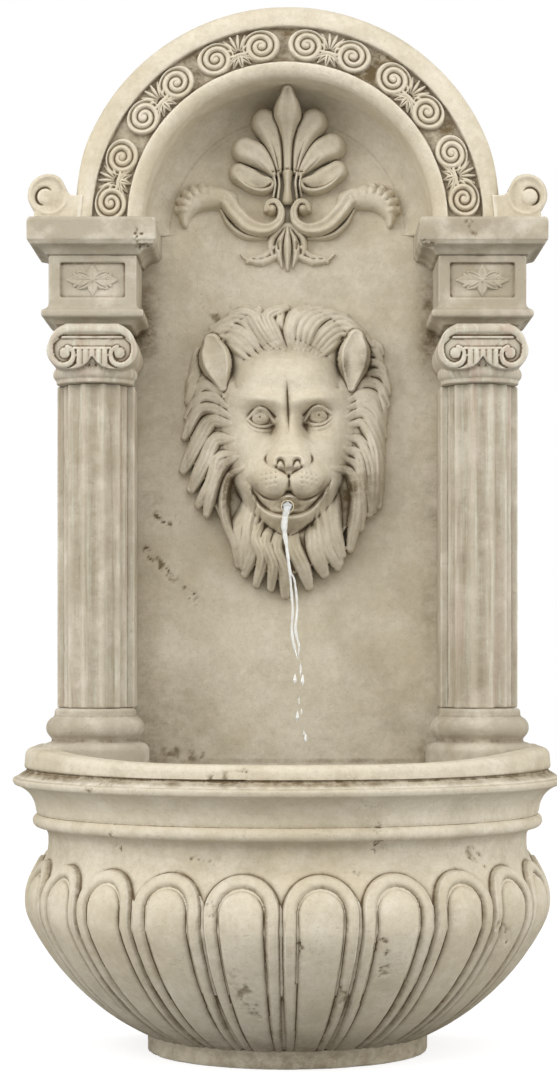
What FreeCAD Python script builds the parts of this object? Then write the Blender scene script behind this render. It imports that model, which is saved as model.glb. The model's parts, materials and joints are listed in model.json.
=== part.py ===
"""Garden wall fountain, cast stone: a half-round basin on a foot, an arched niche between two
fluted columns, a lion mask that spouts water, and the pump, hose and fixings that it needs.

Millimetres. X is to the right, Y is towards the wall and Z is up. The origin is on the floor,
under the foot, on the upright axis that the half-round basin is turned about.
"""

import FreeCAD, Part
import math
import os

import Sketcher

Vector = FreeCAD.Vector
Rotation = FreeCAD.Rotation
Placement = FreeCAD.Placement

doc = FreeCAD.newDocument("WallFountain")
sheet = doc.addObject("Spreadsheet::Sheet", "Sizes")

SIZES = {
    # Basin and foot
    "foot_radius": 106.0,
    "foot_height": 14.0,
    "bowl_foot_radius": 105.0,
    "belly_radius": 194.5,
    "belly_height": 94.0,
    "belly_band_height": 8.0,
    "shoulder_height": 22.0,
    "shoulder_radius": 188.0,
    "neck_radius": 181.0,
    "neck_rise": 19.0,
    "neck_height": 6.5,
    "cove_height": 6.5,
    "bead_radius": 189.0,
    "bead_height": 9.5,
    "scotia_height": 21.5,
    "lip_radius": 207.0,
    "lip_height": 8.0,
    "lip_bevel_height": 6.0,
    "rim_groove_radius": 196.0,
    "rim_radius": 198.5,
    "rim_height": 14.0,
    "rim_round": 5.0,
    "rim_width": 22.0,
    "bowl_wall": 12.0,
    "floor_thickness": 12.0,
    "floor_radius": 91.0,
    # Raised tongues round the belly
    "tongue_raise": 4.5,
    "tongue_angle": 16.36,
    "tongue_gap": 3.0,
    "tongue_band": 8.0,
    "tongue_groove": 2.0,
    "tongue_groove_depth": 2.4,
    "tongue_root": 3.0,
    # Wall side
    "wall_distance": 74.0,
    "panel_thickness": 20.0,
    "panel_half_width": 172.0,
    "seam_drop": 24.0,
    "seam_gap": 0.3,
    "deck_drop": 14.0,
    "deck_thickness": 45.0,
    "deck_inner": 103.0,
    "deck_front": 46.0,
    # Columns
    "column_spread": 146.0,
    "plinth_radius": 41.0,
    "plinth_height": 17.7,
    "plinth_clearance": 0.3,
    "base_scotia_radius": 33.0,
    "base_scotia_height": 3.0,
    "torus_root_radius": 32.5,
    "torus_height": 16.0,
    "base_ring_radius": 31.0,
    "base_ring_height": 6.7,
    "shaft_radius": 24.0,
    "shaft_length": 245.0,
    "flute_count": 10,
    "flute_depth": 1.9,
    "flute_share": 0.86,
    "backing_half_width": 29.5,
    "backing_front": 5.0,
    "neck_ring_radius": 30.5,
    "neck_ring_height": 4.0,
    "astragal_height": 7.6,
    "echinus_radius": 31.5,
    "echinus_height": 11.0,
    "volute_spread": 20.0,
    "volute_radius": 14.0,
    "volute_front": 36.0,
    "capital_height": 43.1,
    "rod_radius": 4.0,
    "rod_clearance": 0.25,
    # Entablature blocks over the columns
    "block_neck_half_width": 29.0,
    "architrave_cove_height": 4.5,
    "architrave_half_width": 38.0,
    "architrave_height": 10.0,
    "block_half_width": 33.0,
    "block_height": 37.4,
    "block_front": 31.0,
    "inset_half_width": 24.5,
    "inset_margin": 5.5,
    "inset_depth": 3.0,
    "leaf_half_width": 20.0,
    "leaf_half_height": 11.0,
    "leaf_thickness": 2.6,
    "cornice_cove_height": 8.0,
    "cornice_half_width": 48.0,
    "cornice_height": 18.6,
    # Arch
    "arch_radius": 161.0,
    "arch_front": 20.0,
    "outer_moulding_width": 13.5,
    "frieze_width": 26.5,
    "inner_moulding_width": 11.0,
    "niche_cove": 24.0,
    "frieze_sink": 6.0,
    "arch_scroll_radius": 16.0,
    "arch_scroll_spread": 180.0,
    "arch_scroll_lift": 4.5,
    "arch_scroll_front": 18.0,
    "arch_scroll_depth": 40.0,
    "frieze_scroll_radius": 12.4,
    "frieze_scroll_angle": 8.0,
    "frieze_scroll_raise": 4.4,
    "frieze_unit_count": 6,
    # Carving in the niche
    "palmette_height": 104.0,
    "palmette_half_width": 47.0,
    "palmette_raise": 17.0,
    "scroll_half_span": 88.0,
    "drop_height": 31.0,
    # Lion mask
    "mask_above_rim": 231.0,
    "mask_half_width": 80.0,
    "mask_half_height": 112.0,
    "mask_raise": 64.0,
    "mane_lobes": 28,
    "mane_lobe_depth": 0.28,
    # Water path
    "spout_below_mask": 49.0,
    "spout_radius": 5.0,
    "spout_bore_radius": 4.0,
    "spout_clearance": 0.2,
    "spout_reach": 14.0,
    "elbow_radius": 6.5,
    "elbow_leg": 34.0,
    "barb_radius": 4.0,
    "barb_bore_radius": 2.8,
    "hose_radius": 6.0,
    "hose_bend": 40.0,
    "channel_half_width": 17.0,
    "channel_depth": 15.0,
    "channel_top": 16.0,
    "hose_grip": 14.0,
    "hose_rise": 40.0,
    "hose_notch": 52.0,
    "clip_width": 12.0,
    "clip_thickness": 1.2,
    "clip_half_span": 14.5,
    "clip_low": 290.0,
    "clip_spacing": 70.0,
    "clip_screw_grip": 4.0,
    "clamp_width": 7.0,
    "clamp_thickness": 1.0,
    # Pump
    "pump_half_width": 22.0,
    "pump_back": 34.0,
    "pump_length": 34.0,
    "pump_height": 42.0,
    "pump_round": 4.0,
    "cup_height": 6.0,
    "cup_radius": 7.0,
    "chamber_radius": 13.0,
    "chamber_depth": 11.0,
    "rotor_well_radius": 7.6,
    "rotor_well_depth": 17.0,
    "rotor_radius": 6.9,
    "rotor_bore_radius": 1.55,
    "impeller_radius": 11.0,
    "impeller_thickness": 1.6,
    "blade_height": 5.0,
    "blade_count": 6,
    "pump_shaft_radius": 1.5,
    "chamber_cover_thickness": 3.0,
    "chamber_inlet_radius": 6.0,
    "nozzle_height": 18.0,
    "nozzle_bore_radius": 2.8,
    "intake_length": 13.0,
    "intake_wall": 2.0,
    "intake_slots": 6,
    "intake_slot_width": 2.4,
    "intake_clearance": 0.15,
    "dial_radius": 8.0,
    "dial_thickness": 3.0,
    "dial_pin_radius": 2.0,
    "dial_clearance": 0.08,
    "gland_radius": 4.5,
    "gland_length": 8.0,
    "gland_bore_radius": 2.6,
    # Drain and cord outlet
    "drain_x": 58.0,
    "drain_y": 34.0,
    "drain_radius": 9.0,
    "drain_clearance": 0.06,
    "drain_head_radius": 13.0,
    "drain_head_height": 4.0,
    "drain_ring_radius": 6.0,
    "drain_ring_wire": 1.3,
    "foot_drain_radius": 12.0,
    "outlet_x": 62.0,
    "outlet_below_seam": 14.0,
    "outlet_half_width": 9.0,
    "outlet_depth": 26.0,
    "outlet_clearance": 0.1,
    "outlet_flange_lap": 3.0,
    "outlet_flange": 2.0,
    "outlet_bore_radius": 4.5,
    # Fixings on the back
    "strap_x": 120.0,
    "strap_half_width": 13.0,
    "strap_half_height": 30.0,
    "strap_thickness": 3.0,
    "strap_hole_rise": 18.0,
    "hanger_x": 95.0,
    "hanger_below_arch": 36.0,
    "hanger_half_width": 15.0,
    "hanger_half_height": 32.0,
    "hanger_thickness": 2.5,
    "hanger_entry_radius": 6.0,
    "hanger_slot_radius": 3.0,
    "hanger_slot_length": 14.0,
    "hanger_pocket_depth": 9.0,
    "hanger_hole_rise": 24.0,
    "screw_radius": 2.0,
    "screw_head_radius": 3.8,
    "screw_head_height": 2.2,
    "screw_length": 12.0,
    "nut_radius": 7.5,
    "nut_height": 6.5,
    "washer_radius": 9.5,
    "washer_thickness": 1.6,
}


for row, (name, value) in enumerate(SIZES.items(), start=1):
    sheet.set("A%d" % row, name)
    sheet.set("B%d" % row, str(value))
    sheet.setAlias("B%d" % row, name)
doc.recompute()


class Length:
    """A size or a place: its value now, and the formula that ties it to the sheet."""

    def __init__(self, value, formula):
        self.value = float(value)
        self.formula = formula

    def __float__(self):
        return self.value

    def __add__(self, other):
        other = length(other)
        return Length(self.value + other.value, "(%s + %s)" % (self.formula, other.formula))

    def __sub__(self, other):
        other = length(other)
        return Length(self.value - other.value, "(%s - %s)" % (self.formula, other.formula))

    def __mul__(self, other):
        other = length(other)
        return Length(self.value * other.value, "(%s * %s)" % (self.formula, other.formula))

    def __truediv__(self, other):
        other = length(other)
        return Length(self.value / other.value, "(%s / %s)" % (self.formula, other.formula))

    def __neg__(self):
        return Length(-self.value, "(0 - %s)" % self.formula)

    def __radd__(self, other):
        return length(other) + self

    def __rsub__(self, other):
        return length(other) - self

    def __rmul__(self, other):
        return length(other) * self

    def __rtruediv__(self, other):
        return length(other) / self


def length(value):
    """A plain number as a Length; a Length stays itself."""
    return value if isinstance(value, Length) else Length(value, "%.9g" % value)


def sine(degrees):
    degrees = length(degrees)
    return Length(math.sin(math.radians(degrees.value)), "sin(%s)" % degrees.formula)


def cosine(degrees):
    degrees = length(degrees)
    return Length(math.cos(math.radians(degrees.value)), "cos(%s)" % degrees.formula)


class Sizes:
    """The sheet's cells by name."""

    def __getattr__(self, name):
        return Length(float(sheet.get(name)), "Sizes." + name)


s = Sizes()

# Levels and planes that several pieces share
FLOOR = length(0)
FOOT_TOP = s.foot_height
BELLY = FOOT_TOP + s.belly_height
BELLY_TOP = BELLY + s.belly_band_height
SHOULDER = BELLY_TOP + s.shoulder_height
NECK = SHOULDER + s.neck_rise
COVE = NECK + s.neck_height
BEAD = COVE + s.cove_height
SCOTIA = BEAD + s.bead_height
LIP = SCOTIA + s.scotia_height
LIP_TOP = LIP + s.lip_height
RIM_GROOVE = LIP_TOP + s.lip_bevel_height
RIM_TOP = RIM_GROOVE + s.rim_height
BASIN_FLOOR = FOOT_TOP + s.floor_thickness
DECK = RIM_TOP - s.deck_drop
SEAM = RIM_TOP - s.seam_drop
WALL = s.wall_distance
PANEL_FRONT = WALL - s.panel_thickness
BASE_TOP = DECK + s.plinth_height + s.base_scotia_height + s.torus_height + s.base_ring_height
SHAFT_TOP = BASE_TOP + s.shaft_length
CAPITAL_TOP = SHAFT_TOP + s.capital_height
BLOCK_BOTTOM = CAPITAL_TOP + s.architrave_cove_height + s.architrave_height
BLOCK_TOP = BLOCK_BOTTOM + s.block_height
SPRING = BLOCK_TOP + s.cornice_cove_height + s.cornice_height
ARCH_FRONT = -s.arch_front
FRIEZE_FACE = ARCH_FRONT + s.frieze_sink
FRIEZE_OUTER = s.arch_radius - s.outer_moulding_width
FRIEZE_INNER = FRIEZE_OUTER - s.frieze_width
ARCH_INNER = FRIEZE_INNER - s.inner_moulding_width
MASK_Z = RIM_TOP + s.mask_above_rim
SPOUT_Z = MASK_Z - s.spout_below_mask
CHANNEL_FLOOR = WALL - s.channel_depth
HOSE_Y = WALL - s.channel_depth / 2
PUMP_BOTTOM = BASIN_FLOOR + s.cup_height
PUMP_TOP = PUMP_BOTTOM + s.pump_height
PUMP_FRONT = s.pump_back - s.pump_length
PUMP_AXIS_Z = PUMP_BOTTOM + s.pump_height / 2
NOZZLE_Y = PUMP_FRONT + s.chamber_depth / 2 + 2
STRAP_FACE = WALL - s.strap_thickness
HANGER_Z = SPRING - s.hanger_below_arch
HANGER_FACE = WALL - s.hanger_thickness

# How full each rounded stretch of an outline is: 0 is straight, 0.414 a quarter circle, 1 a half
QUARTER = math.tan(math.radians(22.5))
FULL_BEAD = 0.8
SOFT = 0.3
FAINT = 0.15

# Longer than the part either way
BEYOND = 400.0

# Tongues that stand on the belly's half circle
ROUND_TONGUES = 10

# How thick a branch is between its knots
LINK_SHARE = 0.97


# Building helpers

nodes = []


def node(name, made):
    """Marks a finished piece, under the name that its file gets."""
    made.Label = name
    nodes.append(made)
    return made


def tie(made, name, value):
    made.setExpression(name, length(value).formula)


def locate(made, x=0, y=0, z=0):
    for axis, value in zip("xyz", (x, y, z)):
        tie(made, "Placement.Base." + axis, value)
    return made


def box(name, x, y, z):
    """A box between two values on each axis."""
    made = doc.addObject("Part::Box", name)
    for side, (low, high) in zip(("Length", "Width", "Height"), (x, y, z)):
        tie(made, side, length(high) - low)
    return locate(made, x[0], y[0], z[0])


AXIS_TURNS = {
    "x": Rotation(Vector(0, 1, 0), 90),
    "y": Rotation(Vector(1, 0, 0), -90),
    "z": Rotation(),
}


def along(made, axis, centre, start):
    """Turns a round piece onto an axis. centre holds its two places across that axis."""
    made.Placement = Placement(Vector(), AXIS_TURNS[axis])
    first, second = centre
    places = {"x": (start, first, second), "y": (first, start, second), "z": (first, second, start)}
    return locate(made, *places[axis])


def cylinder(name, axis, centre, start, end, radius):
    made = doc.addObject("Part::Cylinder", name)
    tie(made, "Radius", radius)
    tie(made, "Height", length(end) - start)
    return along(made, axis, centre, start)


def cone(name, axis, centre, start, end, radius, end_radius):
    made = doc.addObject("Part::Cone", name)
    tie(made, "Radius1", radius)
    tie(made, "Radius2", end_radius)
    tie(made, "Height", length(end) - start)
    return along(made, axis, centre, start)


def fuse(name, *pieces):
    made = doc.addObject("Part::MultiFuse", name)
    made.Shapes = list(pieces)
    made.Refine = True
    return made


def cut(name, base, *tools):
    made = doc.addObject("Part::Cut", name)
    made.Base = base
    made.Tool = tools[0] if len(tools) == 1 else fuse(name + "_tools", *tools)
    return made


def common(name, *pieces):
    made = doc.addObject("Part::MultiCommon", name)
    made.Shapes = list(pieces)
    return made


def group(name, *pieces):
    """Several separate pieces of one kind, kept as one node."""
    made = doc.addObject("Part::Compound", name)
    made.Links = list(pieces)
    return made


def mirrored(name, source):
    """The same piece on the other side of the middle."""
    made = doc.addObject("Part::Mirroring", name)
    made.Source = source
    made.Normal = Vector(1, 0, 0)
    return made


def tube(name, axis, centre, start, end, radius, bore):
    return cut(
        name,
        cylinder(name + "_outside", axis, centre, start, end, radius),
        cylinder(name + "_bore", axis, centre, start, end, bore),
    )


def solid(name, shape):
    """A piece whose shape is worked out here, from the same sizes."""
    made = doc.addObject("Part::Feature", name)
    made.Shape = shape
    return made


def arc_points(start, end, bulge):
    """The middle point of an arc from start to end; a positive bulge lies right of the chord."""
    middle = (start + end) * 0.5
    across = Vector(end.y - start.y, start.x - end.x, 0) * 0.5
    return middle + across * bulge


def draw(sketch, corners):
    """Draws a closed outline. A corner is (across, up) or (across, up, bulge), where the bulge
    rounds the stretch that ends at that corner. Each corner is tied to its sizes."""
    points = [Vector(float(length(c[0])), float(length(c[1])), 0) for c in corners]
    bulges = [c[2] if len(c) > 2 else 0 for c in corners]
    count = len(corners)
    ends = []
    for index in range(count):
        following = (index + 1) % count
        start, end, bulge = points[index], points[following], bulges[following]
        if not bulge:
            sketch.addGeometry(Part.LineSegment(start, end), False)
            ends.append((1, 2))
            continue
        arc = Part.Arc(start, arc_points(start, end, bulge), end)
        edge = sketch.addGeometry(arc, False)
        forward = sketch.getPoint(edge, 1).distanceToPoint(start) < 1e-6
        ends.append((1, 2) if forward else (2, 1))
    joints = []
    for index in range(count):
        following = (index + 1) % count
        joints.append(
            Sketcher.Constraint(
                "Coincident", index, ends[index][1], following, ends[following][0]
            )
        )
    sketch.addConstraint(joints)
    for index, corner in enumerate(corners):
        for kind, value, axis in (("DistanceX", corner[0], -2), ("DistanceY", corner[1], -1)):
            value = length(value)
            if value.formula == "0":
                rule = Sketcher.Constraint("PointOnObject", index, ends[index][0], axis)
                sketch.addConstraint(rule)
                continue
            rule = Sketcher.Constraint(kind, -1, 1, index, ends[index][0], value.value)
            hold(sketch, rule, "%s_%d" % (kind, index), value.formula)
    for index in range(count):
        following = (index + 1) % count
        bulge = abs(bulges[following])
        if bulge:
            first, second = corners[index], corners[following]
            across = (length(second[0]) - first[0]).formula
            up = (length(second[1]) - first[1]).formula
            share = (1 + bulge * bulge) / (4 * bulge)
            chord = points[index].distanceToPoint(points[following])
            rule = Sketcher.Constraint("Radius", index, share * chord)
            formula = "%.9f * sqrt(%s ^ 2 + %s ^ 2)" % (share, across, up)
            hold(sketch, rule, "Radius_%d" % index, formula)
    return sketch


def hold(sketch, rule, name, formula):
    number = sketch.addConstraint(rule)
    sketch.renameConstraint(number, name)
    sketch.setExpression("Constraints." + name, formula)


def loose_sketch(name, corners, upright=True):
    """An outline standing in the plane of X and Z, or of Y and Z when upright is False."""
    made = doc.addObject("Sketcher::SketchObject", name)
    turn = Rotation(Vector(1, 0, 0), 90)
    if not upright:
        turn = Rotation(Vector(0, 0, 1), 90) * turn
    made.Placement = Placement(Vector(), turn)
    return draw(made, corners)


def body_sketch(body, name, plane, corners):
    made = body.newObject("Sketcher::SketchObject", name)
    face = [f for f in body.Origin.OriginFeatures if f.Role == plane][0]
    made.AttachmentSupport = [(face, "")]
    made.MapMode = "FlatFace"
    return draw(made, corners)


def new_body(name):
    return doc.addObject("PartDesign::Body", name)


def turned(name, corners, x=0, y=0, z=0):
    """A turned piece: its outline in X and Z, spun about the upright axis at (x, y)."""
    body = new_body(name)
    outline = body_sketch(body, name + "_outline", "XZ_Plane", corners)
    spin = body.newObject("PartDesign::Revolution", name + "_turn")
    spin.Profile = outline
    spin.ReferenceAxis = (outline, ["V_Axis"])
    spin.Angle = 360
    body.Tip = spin
    return locate(body, x, y, z)


def padded(name, plane, corners, thickness, reversed_=False):
    body = new_body(name)
    outline = body_sketch(body, name + "_outline", plane, corners)
    pad = body.newObject("PartDesign::Pad", name + "_pad")
    pad.Profile = outline
    tie(pad, "Length", thickness)
    pad.Reversed = reversed_
    body.Tip = pad
    return body


def upright_plate(name, corners, front, thickness):
    """A plate that stands in X and Z, from its front face back towards the wall."""
    return locate(padded(name, "XZ_Plane", corners, thickness, True), 0, front, 0)


def extruded(name, sketch, direction, forward, behind=0):
    """Pulls an outline straight along X or Y, forward and behind its own plane."""
    made = doc.addObject("Part::Extrusion", name)
    made.Base = sketch
    made.DirMode = "Custom"
    made.Dir = direction
    made.Solid = True
    tie(made, "LengthFwd", forward)
    tie(made, "LengthRev", behind)
    return made


def half_round(name, corners, depth):
    """Half a turned shape towards the front, carried straight back by depth."""
    outline = loose_sketch(name + "_outline", corners)
    front = doc.addObject("Part::Revolution", name + "_front")
    front.Source = outline
    front.Axis = Vector(0, 0, -1)
    front.Angle = 180
    front.Solid = True
    back = extruded(name + "_back", outline, Vector(0, 1, 0), depth)
    return fuse(name, front, back, mirrored(name + "_back_left", back))


def half_round_plan(radius, back):
    """The plan of a half-round piece with a straight back."""
    return [
        (-radius, 0),
        (0, -radius, QUARTER),
        (radius, 0, QUARTER),
        (radius, back),
        (-radius, back),
    ]


def capsule(start, start_radius, end, end_radius):
    """A round-ended taper between two points."""
    start, end = Vector(*start), Vector(*end)
    reach = end - start
    distance = reach.Length
    first = Part.makeSphere(start_radius, start)
    second = Part.makeSphere(end_radius, end)
    if distance <= abs(start_radius - end_radius) + 0.01:
        return first if start_radius > end_radius else second
    lean = (start_radius - end_radius) / distance
    shrink = math.sqrt(1 - lean * lean)
    direction = reach * (1 / distance)
    low = start + direction * (start_radius * lean)
    high = end + direction * (end_radius * lean)
    near, far = start_radius * shrink, end_radius * shrink
    if abs(near - far) < 1e-4:
        middle = Part.makeCylinder(near, (high - low).Length, low, direction)
    else:
        middle = Part.makeCone(near, far, (high - low).Length, low, direction)
    return first.multiFuse([second, middle])


def chain(points):
    """One round-ended branch through (x, y, z, radius) points."""
    pieces = [Part.makeSphere(radius, Vector(x, y, z)) for x, y, z, radius in points]
    for first, second in zip(points, points[1:]):
        start, end = Vector(*first[:3]), Vector(*second[:3])
        near, far = first[3] * LINK_SHARE, second[3] * LINK_SHARE
        reach = end - start
        if abs(near - far) < 1e-4:
            pieces.append(Part.makeCylinder(near, reach.Length, start, reach))
        else:
            pieces.append(Part.makeCone(near, far, reach.Length, start, reach))
    return pieces


def joined(pieces):
    whole = pieces[0].multiFuse(pieces[1:]) if len(pieces) > 1 else pieces[0]
    return whole.removeSplitter()


def before_panel(shape):
    """What is left of a shape in front of the niche's back."""
    corner = Vector(-BEYOND, float(PANEL_FRONT) - BEYOND, -BEYOND)
    return shape.common(Part.makeBox(2 * BEYOND, BEYOND, 3 * BEYOND, corner))


def reflected(shape):
    return shape.mirror(Vector(), Vector(1, 0, 0))


# Basin

def bowl_outline():
    rim_inner = s.rim_radius - s.rim_width
    return [
        (0, FOOT_TOP),
        (s.bowl_foot_radius, FOOT_TOP),
        (s.belly_radius, BELLY, 0.185),
        (s.belly_radius, BELLY_TOP),
        (s.shoulder_radius, SHOULDER, FAINT),
        (s.neck_radius, NECK, -FAINT),
        (s.neck_radius, COVE),
        (s.bead_radius, BEAD, -QUARTER),
        (s.bead_radius, SCOTIA, FULL_BEAD),
        (s.lip_radius, LIP, -SOFT),
        (s.lip_radius, LIP_TOP, SOFT * 2),
        (s.rim_groove_radius, RIM_GROOVE),
        (s.rim_radius, RIM_GROOVE + 2),
        (s.rim_radius - 1, RIM_TOP - s.rim_round),
        (s.rim_radius - s.rim_round, RIM_TOP, SOFT),
        (rim_inner, RIM_TOP),
        (0, RIM_TOP),
    ]


def cavity_outline():
    rim_inner = s.rim_radius - s.rim_width
    above = RIM_TOP + 2
    return [
        (0, BASIN_FLOOR),
        (s.floor_radius, BASIN_FLOOR),
        (s.belly_radius - s.bowl_wall, BELLY, 0.2),
        (s.belly_radius - s.bowl_wall, BELLY_TOP),
        (s.neck_radius - s.bowl_wall, NECK, FAINT),
        (s.neck_radius - s.bowl_wall, SEAM),
        (rim_inner, DECK),
        (rim_inner, RIM_TOP - s.rim_round),
        (rim_inner + s.rim_round, RIM_TOP, -SOFT),
        (rim_inner + s.rim_round, above),
        (0, above),
    ]


def belly_skin_outline(out):
    """A thin layer over the belly, from inside the wall out to a face raised by out."""
    root = s.tongue_root
    low, high = FOOT_TOP + 0.5, NECK
    return [
        (s.bowl_foot_radius - root, low),
        (s.bowl_foot_radius + out / 3, low),
        (s.belly_radius + out, BELLY, 0.2),
        (s.belly_radius + out, BELLY_TOP),
        (s.shoulder_radius + out * 0.8, SHOULDER + 3, FAINT),
        (s.neck_radius, high, -0.05),
        (s.neck_radius - root, high),
        (s.shoulder_radius - root * 2, SHOULDER),
        (s.belly_radius - root * 2, BELLY_TOP),
        (s.belly_radius - root * 2, BELLY),
        ((s.belly_radius + s.bowl_foot_radius) / 2 + 4, (BELLY + FOOT_TOP) / 2),
    ]


def tongue_face(inset):
    """The front view of one tongue, drawn in by inset: round top, sides closing to the foot."""
    pitch = math.radians(float(s.tongue_angle) / 2)
    gap = float(s.tongue_gap) / 2
    top_z = float(BELLY_TOP)
    belly = float(s.belly_radius)
    foot = float(s.bowl_foot_radius)
    rise = float(BELLY) - float(FOOT_TOP)
    widest = belly * math.tan(pitch) - gap - inset
    middle = (foot + belly) / 2 * math.tan(pitch) * 1.1 - gap - inset
    narrow = foot * math.tan(pitch) - gap - inset
    low = float(FOOT_TOP) + 1 + inset
    half = float(FOOT_TOP) + rise / 2

    def at(across, up):
        return Vector(across, 0, up)

    right = Part.Arc(at(narrow, low), at(middle, half), at(widest, top_z)).toShape()
    crown = Part.Arc(at(widest, top_z), at(0, top_z + widest), at(-widest, top_z)).toShape()
    left = Part.Arc(at(-widest, top_z), at(-middle, half), at(-narrow, low)).toShape()
    sill = Part.LineSegment(at(-narrow, low), at(narrow, low)).toShape()
    return Part.Face(Part.Wire([right, crown, left, sill]))


def tongue_prisms():
    """A whole tongue and its groove, as straight prisms towards the front."""
    reach = float(s.belly_radius) * 1.3
    start = 40.0
    band = float(s.tongue_band)
    groove = float(s.tongue_groove)
    prisms = []
    for inset in (0.0, band, band + groove):
        face = tongue_face(inset)
        face.translate(Vector(0, -start, 0))
        prisms.append(face.extrude(Vector(0, -reach, 0)))
    outside, inside, middle = prisms
    return outside, inside.cut(middle)


def belly_tongues(skin, groove_floor):
    """Tongues round the half circle, and two more on each straight side, cut off at the wall."""
    outside, groove = tongue_prisms()
    ahead = Part.makeBox(2 * BEYOND, BEYOND, BEYOND, Vector(-BEYOND, -BEYOND, 0))
    everywhere = Part.makeBox(2 * BEYOND, 2 * BEYOND, BEYOND, Vector(0, -BEYOND, 0))

    def tongue(room, turn, shift):
        shapes = []
        for prism in (outside, groove):
            placed = prism.copy()
            placed.rotate(Vector(), Vector(0, 0, 1), turn)
            placed.translate(Vector(0, shift, 0))
            shapes.append(placed)
        sunk = shapes[1].cut(groove_floor.common(room))
        return skin.common(room).common(shapes[0]).cut(sunk)

    pitch = float(s.tongue_angle)
    first = tongue(ahead, 0, 0)
    made = []
    for step in range(ROUND_TONGUES):
        copy = first.copy()
        copy.rotate(Vector(), Vector(0, 0, 1), pitch * (step - (ROUND_TONGUES - 1) / 2))
        made.append(copy)
    arc = float(s.belly_radius) * math.radians(pitch)
    corner = float(s.belly_radius) * math.pi / 2 - arc * (ROUND_TONGUES + 1) / 2
    for shift in (-corner, arc - corner):
        beside = tongue(everywhere, 90, shift)
        made += [beside, reflected(beside)]
    return made


def make_foot():
    plan = padded("foot_blank", "XY_Plane", half_round_plan(s.foot_radius, WALL), s.foot_height)
    drain = cylinder(
        "foot_drain", "z", (-s.drain_x, -s.drain_y), FLOOR - 1, FOOT_TOP + 1, s.foot_drain_radius
    )
    node("foot", cut("foot", plan, drain))


def make_basin():
    bowl = half_round("bowl", bowl_outline(), WALL)
    hollow = half_round("hollow", cavity_outline(), PANEL_FRONT)
    far = s.lip_radius + 10
    deck = box(
        "deck",
        (s.deck_inner, far),
        (-s.deck_front, PANEL_FRONT + 1),
        (DECK - s.deck_thickness, DECK),
    )
    water = cut("water_space", hollow, deck, mirrored("deck_left", deck))
    sockets = []
    for side, word in ((-1, "left"), (1, "right")):
        sockets.append(
            cylinder(
                "plinth_socket_" + word,
                "z",
                (s.column_spread * side, 0),
                DECK,
                RIM_TOP + 1,
                s.plinth_radius + s.plinth_clearance,
            )
        )
        sockets.append(rod_hole("deck_rod_hole_" + word, side, SEAM - s.deck_thickness, RIM_TOP))
        sockets.append(strap_recess("basin_strap_recess_" + word, side))
        sockets.append(strap_screw_hole("basin_strap_hole_" + word, side, -1))
    seat_half = s.panel_half_width + s.seam_gap
    seat = box("panel_seat", (-seat_half, seat_half), (PANEL_FRONT, WALL + 1), (SEAM, RIM_TOP + 1))
    drain = cylinder(
        "drain_hole",
        "z",
        (-s.drain_x, -s.drain_y),
        FOOT_TOP - 1,
        BASIN_FLOOR + 1,
        s.drain_radius,
    )
    hose_notch_half = s.hose_radius + 2
    notch = box(
        "hose_notch",
        (-hose_notch_half, hose_notch_half),
        (PANEL_FRONT - 1, WALL + 1),
        (SEAM - s.hose_notch, SEAM + 1),
    )
    outlet = box(
        "outlet_notch",
        (s.outlet_x - s.outlet_half_width, s.outlet_x + s.outlet_half_width),
        (PANEL_FRONT - 1, WALL + 1),
        (SEAM - s.outlet_depth, SEAM + 1),
    )
    shell = cut("basin_shell", bowl, water, seat, drain, notch, outlet, *sockets)
    skin = half_round("tongue_skin", belly_skin_outline(s.tongue_raise), WALL)
    sunk = belly_skin_outline(s.tongue_raise - s.tongue_groove_depth)
    groove_floor = half_round("groove_floor", sunk, WALL)
    doc.recompute()
    tongues = belly_tongues(skin.Shape, groove_floor.Shape)
    node("basin", solid("basin", shell.Shape.multiFuse(tongues).removeSplitter()))


# Columns

def rod_hole(name, side, start, end):
    radius = s.rod_radius + s.rod_clearance
    return cylinder(name, "z", (s.column_spread * side, 0), start, end, radius)


def base_outline():
    bore = s.rod_radius + s.rod_clearance
    plinth = DECK + s.plinth_height
    torus = plinth + s.base_scotia_height
    ring = torus + s.torus_height
    return [
        (bore, DECK),
        (s.plinth_radius, DECK),
        (s.plinth_radius, plinth - 5),
        (s.base_scotia_radius + 2, plinth, SOFT),
        (s.base_scotia_radius, plinth),
        (s.base_scotia_radius, torus),
        (s.torus_root_radius, torus),
        (s.torus_root_radius, ring, 0.62),
        (s.base_ring_radius, ring),
        (s.base_ring_radius, BASE_TOP - 2),
        (s.base_ring_radius - 2, BASE_TOP, SOFT),
        (bore, BASE_TOP),
    ]


def capital_neck_outline():
    bore = s.rod_radius + s.rod_clearance
    ring = SHAFT_TOP + s.neck_ring_height
    bell = ring + s.astragal_height
    return [
        (bore, SHAFT_TOP),
        (s.neck_ring_radius - 1, SHAFT_TOP),
        (s.neck_ring_radius - 1, ring),
        (s.neck_ring_radius, ring),
        (s.neck_ring_radius, bell, 0.4),
        (s.neck_ring_radius - 2.5, bell),
        (s.echinus_radius, bell + s.echinus_height, SOFT),
        (bore, bell + s.echinus_height),
    ]


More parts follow.
